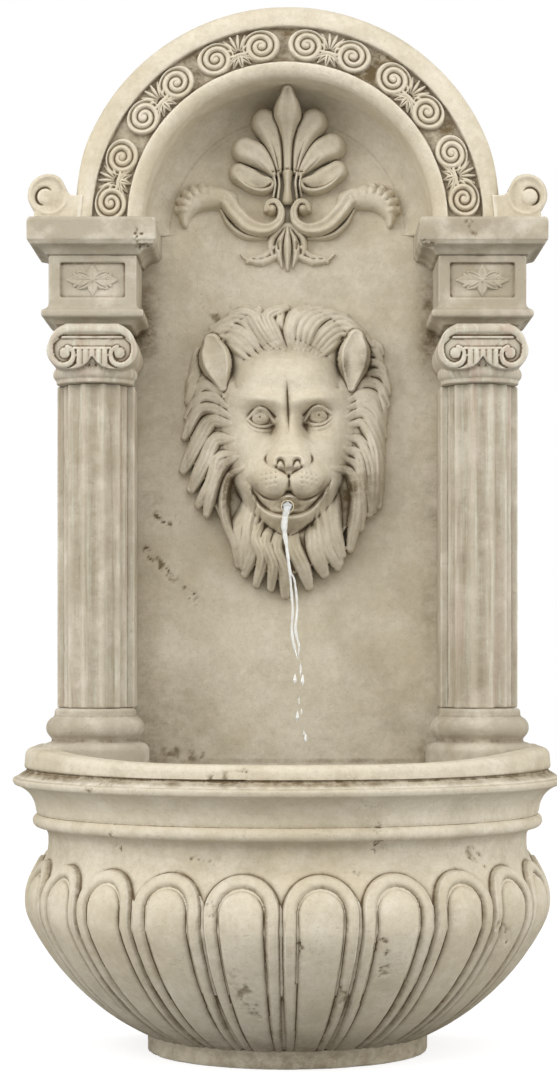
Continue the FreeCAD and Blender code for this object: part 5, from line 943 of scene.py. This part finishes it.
    # Brow line and eyes
    r.cut([(-0.5, 48), (0, 36), (0.5, 24), (1, 9)], [0.8, 1.4, 1.8, 1.0], [0.8, 3.4, 4.2, 1.0])
    for r.side, *eye in ((-1, -20.7, 20.5), (1, 23.7, 22)):
        ball = np.hypot((u - eye[0]) / 6.6, (v - eye[1]) / 5.2)
        r.height += 5.0 * np.sqrt(np.clip(1 - ball**2, 0, 1))
        r.ground = r.height.copy()
        r.origin = eye
        tilt = r.side * 1.4
        r.stroke([(-10.5, -3.5), (-5, 4.4), (2, 6.0), (10.5, 0.5 + tilt)], [0.8, 1.5, 1.5, 0.8],
                 [1.6, 2.8, 2.8, 1.2])
        r.cut([(-11.5, 1), (-4, 8), (3, 9), (10.5, 4 + tilt)], 1.1, [2.6, 2.4, 1.6, 0.6])
        r.stroke([(-10.5, -4.5), (-3, -6.4), (4, -5.4), (10.5, -0.5)], [0.7, 1.3, 1.2, 0.6],
                 [1.2, 2.2, 2.0, 0.8])
        r.stroke([(-8.5, -9.5), (-1, -10), (6, -8), (11.5, -3)], [0.6, 1.2, 1.1, 0.5], [0.8, 1.8, 1.6, 0.6])
        r.cut([(-10.5, -7), (-8.5, -13)], [2.6, 2.0], [5, 2])
        ring = np.hypot(u - eye[0] - r.side * 0.4, v - eye[1] - 0.6)
        r.height -= 0.45 * hill(ring, 3.0, 0.8)
        r.height -= 1.7 * hill(ring, 0, 1.2)
    r.height = np.minimum(softened(r.height, 2), 66.5)
    return r


# Where the lion is darkened, dirt with painted shade in its eye corners, mouth and hollows: middle, reach and
# strength
LION_DIRT_AND_SHADE = [
    ((-12, 13), (6, 9), 0.85), ((14, 14), (6, 9), 0.8), ((-21, 19), (10, 8), 0.55), ((24, 20), (10, 8), 0.5),
    ((1, -47), (15, 7), 0.9), ((-26, -36), (6, 10), 0.6), ((28, -36), (6, 10), 0.6), ((1, -20), (10, 4), 0.5),
    ((-45, -34), (9, 24), 0.9), ((47, -34), (9, 24), 0.9), ((0, 30), (3, 18), 0.5),
    ((-60, 20), (10, 20), 0.5), ((62, 62), (9, 14), 0.6), ((44, 62), (4, 11), 0.9), ((0, 78), (40, 8), 0.35),
    ((-17, -92), (30, 16), 0.4), ((60, -30), (14, 20), 0.5),
]


def lion_dirt_and_shade(relief):
    dirt_and_shade = np.zeros(relief.u.shape)
    for middle, reach, strength in LION_DIRT_AND_SHADE:
        dirt_and_shade = np.maximum(dirt_and_shade, relief.swell(middle, reach, 1.35 * strength))
    return dirt_and_shade


# Leaf fan, scrolls and bud

LEAF_NET = 1.332
LEAF_Z = 675.0
# Palmette leaves: line from the waist to the bulb, half widths, heights
LEAVES = [
    ([(-9.5, -5.5), (-16.5, -6), (-23, -3.8), (-28.6, -1)], [2.7, 7.2, 8.8, 8.2], [11, 12, 14, 15]),
    ([(9.5, -5.5), (16.5, -5.6), (24, -2.6), (29.2, 0.4)], [2.7, 7.2, 8.8, 8.4], [11, 12, 14, 15]),
    ([(-8, -2), (-12, 4), (-18, 9.4), (-25, 12.4)], [2.4, 6.6, 9.8, 10.6], [13, 15, 18, 19]),
    ([(7, -2), (12.5, 5), (19.5, 11.5), (26.2, 14.4)], [2.4, 6.6, 9.8, 11.0], [13, 15, 18, 19]),
    ([(-4.6, 0), (-6.6, 11), (-9.4, 20.5), (-13.2, 28.0)], [2.4, 5.6, 9.0, 11.0], [14, 17, 21, 25]),
    ([(4.6, 0), (6.6, 11), (10.2, 20.5), (15.2, 28.0)], [2.4, 5.8, 9.4, 11.4], [14, 17, 21, 25]),
]
ACANTHUS = [(-46, -14), (-37, -15.5), (-30.5, -24), (-22, -32), (-12, -34), (-5.2, -30), (-3.6, -23.5),
            (-6.5, -18), (-11, -18.5), (-12.5, -22.5)]
ACANTHUS_LEAF = [(-34, -16), (-44, -14.8), (-52, -16.2), (-57.5, -20.5), (-60, -26), (-60, -31)]
LOBES = [(-34, -12.5), (-39.5, -10), (-45, -9), (-50.5, -8), (-56, -9.2), (-60.8, -12), (-63.8, -16.5),
         (-65, -22)]


def palmette_relief():
    r = Relief(-50, 50, -26, 64, 0.45, LEAF_NET)
    for line, width, high in LEAVES:
        r.stroke(line, width, high, "pillow")
    for r.side in (-1, 1):
        # The lowest leaves roll over along their lower edge
        r.cut([(10, -7), (16, -8.4), (23, -6.4)], [1.6, 2.4, 1.6], [1, 3, 1])
        r.stroke([(7.8, -4.6), (9.5, -9.8), (16, -11.6), (24, -9.0), (31, -3)], [1.4, 2.6, 2.6, 2.4, 1.6],
                 [11, 12, 13, 14, 13])
    for (line, _, _), below in zip(LEAVES[2:], (5.4, 5.4, 4.8, 4.8)):
        r.cut([(x, y - below / LEAF_NET) for x, y in line[:3]], 0.7, [2.0, 2.0, 0.4])
    # The centre leaf, curling forward at its top
    r.stroke([(0, -1), (0, 6), (0, 13), (0, 20), (0, 27), (0, 34), (0, 38.5), (0, 42)],
             [3.4, 3.5, 3.9, 5.0, 8.0, 11.4, 10.6, 6.0], [15, 17, 20, 24, 31, 41, 47, 50], "pillow")
    for r.side in (-1, 1):
        r.cut([(3, 0), (3.4, 12), (5.2, 22)], 0.7, [2.5, 2.5, 1.0])
    # The waist and its strips
    r.stroke([(0, -1), (0, -8), (0, -17)], [4.6, 3.6, 5.0], [15, 13, 11])
    for r.side in (-1, 1):
        r.stroke([(-5.6, -1.5), (-4.7, -7.5), (-5.6, -16)], 1.5, [14, 13, 11])
        r.stroke([(-7.9, -2.5), (-7.1, -8), (-8.2, -15)], 1.4, [13, 12, 10])
    r.cut([(-9, -0.8), (0, 0.6), (9, -0.8)], 0.8, 2.5)
    r.height = softened(r.height, 1)
    return r


def acanthus_relief(side):
    low, high = (-92, 0) if side < 0 else (0, 92)
    r = Relief(low, high, -56, -6, 0.45, LEAF_NET)
    r.side = -side
    r.stroke([(-39, -22), (-34, -31), (-25, -37.5), (-12, -38.5)], [1.5, 2.4, 2.6, 1.6], [5, 8, 8, 4])
    r.stroke(ACANTHUS_LEAF, [7, 9.4, 9.8, 8.6, 6.2, 2.6], [11, 12, 12, 12, 11, 8])
    for x, y in LOBES:
        line = [((x * (1 - t) - 46 * t), (y * (1 - t) - 25 * t)) for t in (0.42, 0.28, 0.14, 0.03)]
        r.stroke(line, [2.4, 4.6, 5.0, 3.4], [10.5, 12.4, 11.4, 8])
    r.stroke(ACANTHUS, [7.4, 7.4, 7.0, 7.0, 6.8, 5.4, 4.2, 3.4, 2.8, 2.4],
             [11, 13, 15, 16.5, 17, 17, 16.5, 15.5, 14, 12], "pillow")
    r.cut(ACANTHUS[1:7], [0.6, 1.6, 2.6, 2.6, 1.6, 0.8], [0.2, 0.6, 0.9, 0.9, 0.6, 0.3])
    r.stroke([(-9.2, -22.4), (-9.0, -22.2)], 4.3, 14.5)
    r.height = softened(r.height, 2)
    return r


def bud_relief():
    r = Relief(-42, 42, -80, -38, 0.4, LEAF_NET)
    for r.side in (-1, 1):
        r.stroke([(-6, -49), (-15, -52.5), (-23, -51.5), (-27.5, -48)], [2.6, 3.0, 2.2, 0.7],
                 [6, 5.5, 5, 3.5])
        r.stroke([(-8, -44), (-14, -49), (-22, -50)], [1.8, 2.6, 1.0], [6, 5, 3])
        for k in range(3):
            x = -13 - 4.5 * k
            r.stroke([(x, -51), (x - 1.6, -53.8 + k * 0.6)], [2.2, 1.7], [5, 4.4])
        r.stroke([(-3, -33.5), (-8.6, -38.5), (-10, -45), (-8, -50)], [1.8, 2.9, 2.8, 1.2], [8, 8, 7, 5])
        r.stroke([(-1.5, -34), (-4.6, -41), (-5.0, -48), (-3.2, -55.5)], [1.6, 2.9, 3.0, 1.0],
                 [9, 9.5, 8.5, 6])
        r.cut([(-5.6, -42), (-5.2, -45)], 1.3, 5)
    r.stroke([(0, -33), (0, -44), (0, -57)], [2.2, 3.4, 1.4], [10, 10.5, 7])
    r.stroke([(-5.5, -34.5), (0, -31.8), (5.5, -34.5)], [1.8, 3.4, 1.8], [8, 10.5, 8])
    r.height = softened(r.height, 1)
    return r


def frieze_relief():
    """One unit of the frieze: two spirals turned towards a fan of leaves."""
    r = Relief(-31, 31, -13.4, 13.4, 0.4)
    for r.side in (-1, 1):
        u, v = r.u * r.side - 16.4, r.v + 0.3
        away, turn = np.hypot(u, v), np.arctan2(v, u)
        # The mouth of the spiral looks down and inwards
        phase = away / 4.7 - (turn + 2.4) / (2 * math.pi)
        disc = 2.6 + 2.7 * (0.5 + 0.5 * np.cos(2 * math.pi * phase)) ** 0.7
        edge = 13.0 + 0.5 * np.cos(turn * 2)
        eye = 5.2 * np.sqrt(np.clip(1 - (away / 3.2) ** 2, 0, 1))
        disc = np.maximum(disc * smooth(edge - away, -0.3, 1.0), eye)
        r.height = np.maximum(r.height, np.where(away < edge, disc, -2))
        r.stroke([(10, -8.5), (5.5, -5.8), (0, -4)], [2.2, 2.0, 2.2], [4.2, 5.0, 5.4], "round", 2, 0.25)
        r.stroke([(8.5, -2), (4.5, -3.2), (0, -3)], [1.6, 1.8, 2.0], [4.0, 5.0, 5.4])
        r.stroke([(0, -4), (3.6, -7.5), (6.5, -11)], [1.6, 2.5, 1.0], [4.4, 4.8, 3.0], "leaf")
    for turn in (-52, -30, -10, 10, 30, 52):
        c, s = math.sin(math.radians(turn)), math.cos(math.radians(turn))
        reach = 14.2 if abs(turn) < 40 else 9.5
        r.stroke([(c * 3, -2.5 + s * 3), (c * 8, -2.5 + s * 8), (c * reach, min(-2.5 + s * reach, 12))],
                 [0.8, 1.5, 1.0], [3.4, 4.6, 3.4])
    r.stroke([(0, -4), (0, -8), (0, -12)], [1.8, 2.6, 1.2], [5, 5.4, 3.4], "leaf")
    r.height = np.minimum(softened(r.height, 1), 5.6)
    return r


VOLUTE = [(0, 18.2), (12, 18.2), (22, 17.2), (29.4, 12.4), (32.0, 5), (30.2, -3.5), (24.4, -8.4),
          (17.6, -7.8), (14.0, -3), (14.6, 2.2), (18.6, 5.0)]


def capital_relief():
    """How far the capital's front stands out from, or is cut into, its plain shape."""
    r = Relief(-38, 38, -24, 24, 0.4)
    r.height[:] = 0
    channel = smooth(27 - np.abs(r.u), 0, 3) * smooth(r.v, 2.0, 3.5) * smooth(15.5 - r.v, 0, 1.5)
    r.height -= 1.6 * channel
    for side in (-1, 1):
        away = np.hypot(r.u - side * 20, r.v - 0.3)
        r.height -= 2.6 * smooth(12.2 - away, 0, 2)
    for r.side in (-1, 1):
        r.stroke(VOLUTE, [2.7, 2.7, 2.8, 2.9, 2.9, 2.8, 2.6, 2.3, 2.0, 1.8, 1.6],
                 [1.8, 1.8, 2.0, 2.2, 2.2, 2.2, 2.2, 2.0, 1.8, 1.2, 0.6], "pillow")
        away = np.hypot(r.u - r.side * 20.4, r.v - 0.6)
        eye = 0.8 * np.clip(1 - (away / 4.0) ** 2, 0, 1) ** 0.7
        r.height = np.maximum(r.height, eye - 2.6 * (away > 4))
    r.stroke([(-13.5, 4.0), (13.5, 4.0)], 1.1, 0.6)
    r.stroke([(-22, 12.2), (22, 12.2)], 0.9, 0.2)
    for x in (-9.6, -4.8, 0, 4.8, 9.6):
        r.stroke([(x, 1.5), (x, -4), (x, -9)], [2.1, 2.2, 1.8], [1.6, 1.8, 1.2])
    r.height = softened(r.height, 5)
    return r


def scroll_relief():
    """The arch's foot scroll, seen from the front, its eye left of the middle."""
    r = Relief(-18, 20, -22, 18, 0.4)
    r.height[:] = 0
    away = np.hypot(r.u, r.v)
    r.height += 0.9 * hill(away, 13.8, 1.3)
    r.height -= 0.8 * hill(away, 10, 3.0)
    eye = np.hypot(r.u + 2.6, r.v + 1.2)
    turn = np.degrees(np.arctan2(r.v + 1.2, r.u + 2.6))
    part = 1 - smooth(np.abs((turn - 150 + 180) % 360 - 180), 60, 130)
    r.height -= 3.0 * part * hill(eye, 6.0 + 0.9 * part, 1.1)
    r.height += 1.0 * np.sqrt(np.clip(1 - (eye / 6.4) ** 2, 0, 1))
    return r


def block_leaf_relief():
    """The small lozenge of four leaves."""
    r = Relief(-21, 21, -12.5, 12.5, 0.35)
    for dx, dy, reach, wide in ((-1, 0, 19, 5.6), (1, 0, 19, 5.6), (0, 1, 11.2, 4.6), (0, -1, 11.2, 4.6)):
        line = [(dx * reach * t, dy * reach * t) for t in (0.1, 0.4, 0.7, 1.0)]
        r.stroke(line, [2.2, wide, wide * 0.72, 0.8], [3.4, 3.2, 2.8, 1.8], "leaf", 3, 0.28)
    for r.side in (-1, 1):
        for up in (-1, 1):
            r.stroke([(2, up * 1.5), (7, up * 4.6), (10.5, up * 5.8)], [1.8, 3.0, 1.3], [3.2, 3.0, 1.8],
                     "leaf", 2, 0.25)
            r.stroke([(9, up * 1.5), (13.5, up * 4.4)], [2.2, 1.2], [2.8, 1.8])
    away = np.hypot(r.u, r.v)
    eye = 3.6 * np.sqrt(np.clip(1 - (away / 2.6) ** 2, 0, 1))
    r.height = np.maximum(r.height, eye + np.where(away < 2.6, 0, -2))
    r.height = softened(r.height, 1)
    return r


SHAFT_RADIUS = 24.0


def from_axis(points):
    return np.hypot(np.abs(points[:, 0]) - COLUMN_X, points[:, 1])


def flute_depth(points):
    """How far each point of a shaft lies inside its round outline, on the front of the round."""
    away = from_axis(points)
    return np.clip(SHAFT_RADIUS - away, 0, 4) * smooth(-points[:, 1], -6, 2) * (away > 18)


def deeper_flutes(points):
    shrink = 1 - 0.8 * flute_depth(points) / np.maximum(from_axis(points), 1)
    middle = COLUMN_X * np.sign(points[:, 0])
    points[:, 0] = middle + (points[:, 0] - middle) * shrink
    points[:, 1] *= shrink
    return points


# Painted shade with dirt: the flutes darker the deeper they are cut.
def flute_dirt_and_shade(points):
    return 0.34 * smooth(flute_depth(points), 0.6, 3.6)


def fuller_arch(points):
    """The arch's outer edge, which wear has drawn in, brought back out."""
    ring = np.hypot(points[:, 0], points[:, 2] - SPRING)
    grow = 1 + 2.6 * smooth(ring, 150, 158) * smooth(points[:, 2], 640, 690) / np.maximum(ring, 1)
    points[:, 0] *= grow
    points[:, 2] = SPRING + (points[:, 2] - SPRING) * grow
    return points


basin_skin()
basin_core()

for word in ("left", "right"):
    aged("column_base_" + word, 1.0, 2, SHADED_PILLAR_STONE, 0.3)
    aged("column_shaft_" + word, 1.0, 2, STREAKED_SHADED_STONE, change=deeper_flutes, dirt_and_shade=flute_dirt_and_shade)
    aged("entablature_" + word, 0.9, 2, SHADED_PILLAR_STONE)
    aged("cornice_" + word, 1.0, 2, SHADED_PILLAR_STONE)
aged("arch", 1.1, wear=0.6, change=fuller_arch)
aged("back_panel", 1.8, 1)
aged("foot", 1.2)


# Frieze

FRIEZE_RADIUS = 134.25
FRIEZE_FACE = -14.0
FRIEZE_ANGLES = (-76.2, -46.2, -16.2, 13.8, 44.2, 74.8)
STRETCH = 1.09


def round_the_arch(middle):
    """Bends a frieze unit to the arch, its top to the outside."""

    def place(u, v, height):
        angle = math.radians(middle) + STRETCH * u / FRIEZE_RADIUS
        radius = FRIEZE_RADIUS + v
        return radius * np.sin(angle), FRIEZE_FACE - height, SPRING + radius * np.cos(angle)

    return place


# Painted shade with dirt: the frieze darker where its relief is low.
def groove_dirt_and_shade(relief):
    return 0.75 * smooth(4.6 - relief.height, 0, 1.8)


unit = frieze_relief()
for number, middle in enumerate(FRIEZE_ANGLES):
    covers = "frieze_ornaments" if number == 0 else None
    place = round_the_arch(middle)
    carving("frieze_unit_%d" % (number + 1), unit, place, covers, seed=20 + number, dirt_and_shade=groove_dirt_and_shade)

CAPITAL_Z = 524
SCROLL = (180, 645.5)
BLOCK_FACE = -28
BLOCK_LEAF_Z = 579.7
capital = capital_relief()
foot_scroll = scroll_relief()
small_leaf = block_leaf_relief()
on_panel = upright(0, PANEL_FRONT, LEAF_Z)
for side, word in ((-1, "left"), (1, "right")):
    column = COLUMN_X * side
    carved("column_capital_" + word, 0.7, capital, column, CAPITAL_Z, side, STREAKED_SHADED_STONE, 11)
    carved("arch_scroll_" + word, 0.7, foot_scroll, SCROLL[0] * side, SCROLL[1], -side, None, 12, True)
    place = upright(column, BLOCK_FACE, BLOCK_LEAF_Z)
    carving("leaf_on_block_" + word, small_leaf, place, "block_leaf_" + word, material=SHADED_PILLAR_STONE)
    carving("acanthus_" + word, acanthus_relief(side), on_panel, "acanthus_scroll_" + word)
carving("leaf_fan", palmette_relief(), on_panel, "palmette")
carving("bud", bud_relief(), on_panel, "hanging_bud")
carving("lion_head", lion_relief(), upright(0, PANEL_FRONT, MASK_Z), "lion_mask", dirt_and_shade=lion_dirt_and_shade)
aged("spout_tube", 0.5, 1, LIMED, 0.4, 0.3, 9, slot="spout_brass")


# Water

AROUND = 10


def tube(line, radii):
    """A closed tube along a smooth line, its radii spread evenly along it."""
    line = np.array(line, float)
    upper, gone = spline(line[:, [0, 2]], 1.0)
    depth = np.interp(gone / gone[-1], np.linspace(0, 1, len(line)), line[:, 1])
    middle = np.stack([upper[:, 0], depth, upper[:, 1]], axis=1)
    share = gone / gone[-1]
    radius = along(radii, share) * (1 + 0.12 * np.sin(share * 29) + 0.08 * np.sin(share * 61 + 1))
    turn = np.arange(AROUND) / AROUND * 2 * math.pi
    ring = np.stack([np.cos(turn), np.sin(turn), np.zeros(AROUND)], axis=1)
    points = (middle[:, None, :] + ring[None] * radius[:, None, None]).reshape(-1, 3)
    index = np.arange(len(points)).reshape(len(middle), AROUND)
    after = np.roll(index, -1, axis=1)
    quads = np.stack([index[1:], after[1:], after[:-1], index[:-1]], axis=-1).reshape(-1, 4)
    return points, quads


def together(*shapes):
    points, quads, begun = [], [], 0
    for some, faces in shapes:
        points.append(some)
        quads.append(faces + begun)
        begun += len(some)
    return np.vstack(points), np.vstack(quads)


STREAM = [
    ([(0, -11.9, 414.9), (0, -11.9, 412.5), (0, -11.9, 409.5), (0, -12, 407.1)], [0.6, 3.6, 3.6, 0.6]),
    ([(0, -12.5, 411), (-0.6, -15, 407.8), (-1.6, -17, 403), (-2.4, -19, 394), (-0.4, -21, 379),
      (2.2, -23, 358)], [2.6, 2.5, 1.9, 1.3, 1.2, 1.2]),
    ([(1.8, -23, 360), (2.6, -24, 351), (3.9, -25, 332), (3.2, -26, 318), (4.9, -27, 306), (7.6, -28, 296)],
     [0.8, 1.0, 0.9, 0.9, 1.3, 0.2]),
    ([(2.4, -23, 361), (5.4, -24, 354), (7.3, -25, 334), (6.0, -26, 318), (8.7, -27, 305), (7.7, -28, 297)],
     [0.6, 0.9, 0.8, 1.1, 1.1, 0.2]),
]
# Falling drops: the middle of each, its radius and its length
DROPS = [
    ((5.5, -29, 280), 1.5, 3.0), ((11.4, -29, 279), 1.4, 3.6), ((9.8, -29, 287), 0.9, 4.0),
    ((7.4, -30, 252), 1.4, 3.4), ((10.6, -30, 256), 0.7, 2.0), ((8.6, -30, 264), 0.6, 2.4),
    ((13.6, -31, 236), 1.3, 3.0), ((12.2, -31, 240), 0.7, 2.0), ((9.5, -32, 212), 1.4, 3.2),
    ((7.6, -32, 193), 1.5, 2.8), ((11.0, -33, 174), 1.3, 3.2),
]
WATER_LEVEL = 152.0
FALLS_AT = (10.0, -33.0)


def water_material():
    n = Nodes(bpy.data.materials.new("water"))
    place = n.place()
    colour = n.mix(n.noise(place, 260.0), (0.90, 0.93, 0.90, 1), WHITE)
    sheen = n.ramp(n.noise(place, 500.0), 0.3, 0.7, 0.02, 0.12)
    n.fill(n.shader, {"Base Color": colour, "Roughness": sheen, "IOR": 1.33, "Transmission Weight": 0.6,
                      "Specular IOR Level": 1.0})
    n.bump(n.noise(place, 420.0, 2.0), 0.5, 0.0005)
    return n.holder


WATER = water_material()


def drop(middle, radius, length):
    x, y, z = middle
    line = [(x, y, z + length * up) for up in (-1, -0.4, 0.4, 1.6)]
    return tube(line, [0.1 * radius, radius, 0.7 * radius, 0.05 * radius])


def water():
    points, quads = together(*(tube(*strand) for strand in STREAM), *(drop(*one) for one in DROPS))
    made = bpy.data.objects.new("falling_water", mesh_of("falling_water", points, quads))
    # The surface in the bowl, rippling out from where the stream falls
    inner = np.interp(WATER_LEVEL, [138, 157], [181.0, 172.5])
    turn = np.linspace(-math.pi, math.pi, 241)
    sideways = inner / np.maximum(np.abs(np.cos(turn)), 1e-6)
    to_panel = (PANEL_FRONT + 1) / np.maximum(np.sin(turn), 1e-6)
    edge = np.where(np.sin(turn) > 0, np.minimum(sideways, to_panel), inner)
    share = np.linspace(0.004, 1, 90)[:, None]
    x, y = share * edge * np.cos(turn), share * edge * np.sin(turn)
    away = np.hypot(x - FALLS_AT[0], y - FALLS_AT[1])
    z = WATER_LEVEL + 1.6 * np.exp(-away / 45) * np.cos(away / 2.2) + 0.25 * np.sin(x / 9 + np.sin(y / 13))
    points = np.stack([x, y, z], axis=-1).reshape(-1, 3)
    skin = mesh_of("pool_surface", points, grid_faces(*x.shape)[:, ::-1])
    pool = bpy.data.objects.new("pool_surface", skin)
    for one in (made, pool):
        scene.collection.objects.link(one)
        one.data.materials.append(WATER)
        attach(one, "fountain")


water()

# Fittings inside: moulded plastic, rubber, metal, ceramic


def fitting(name, colour, worn, roughness, metal=0.0, grain=400.0, strength=0.2, stretch=(1, 1, 1),
            clear=0.0):
    """A material with an uneven colour and sheen, a little wear and a fine bump."""
    n = Nodes(bpy.data.materials.new(name))
    place = n.stretched(n.place(), stretch)
    fine = n.noise(place, grain, 4.0, 0.65)
    broad = n.ramp(n.noise(place, grain / 9, 3.0), 0.42, 0.70)
    colour = n.mix(n.math("MULTIPLY", broad, 0.6), colour + (1,), worn + (1,))
    sheen = n.ramp(fine, 0.3, 0.7, roughness - 0.08, roughness + 0.1)
    n.fill(n.shader, {"Base Color": colour, "Roughness": sheen, "Metallic": metal,
                      "Transmission Weight": clear})
    n.bump(fine, strength, 0.0003)
    return n.holder


# Each slot: colour, worn colour, roughness, metal, grain, bump, stretch and clearness
LOOKS = {
    "zinc_steel": ((0.60, 0.61, 0.63), (0.42, 0.41, 0.38), 0.38, 1.0, 260.0, 0.15, (1, 1, 8)),
    "fitting_plastic": ((0.045, 0.045, 0.05), (0.09, 0.09, 0.09), 0.48),
    "clear_hose": ((0.78, 0.82, 0.79), (0.66, 0.68, 0.58), 0.25, 0.0, 150.0, 0.1, (1, 1, 1), 0.7),
    "pump_plastic": ((0.022, 0.023, 0.026), (0.06, 0.062, 0.055), 0.42, 0.0, 900.0, 0.3),
    "dial_plastic": ((0.03, 0.09, 0.26), (0.08, 0.15, 0.30), 0.38, 0.0, 800.0, 0.2),
    "rotor_plastic": ((0.66, 0.66, 0.63), (0.50, 0.47, 0.40), 0.42, 0.0, 700.0, 0.15),
    "shaft_ceramic": ((0.86, 0.86, 0.83), (0.76, 0.75, 0.70), 0.16, 0.0, 500.0, 0.05),
    "rubber": ((0.02, 0.02, 0.02), (0.055, 0.052, 0.048), 0.66, 0.0, 1100.0, 0.4),
}
FITTINGS = {name: fitting(name, *look) for name, look in LOOKS.items()}
for subpart in frame["record"]["subparts"]:
    if subpart["material_slot"] in FITTINGS:
        surface = frame["nodes"][subpart["node"]].data.materials
        surface.clear()
        surface.append(FITTINGS[subpart["material_slot"]])
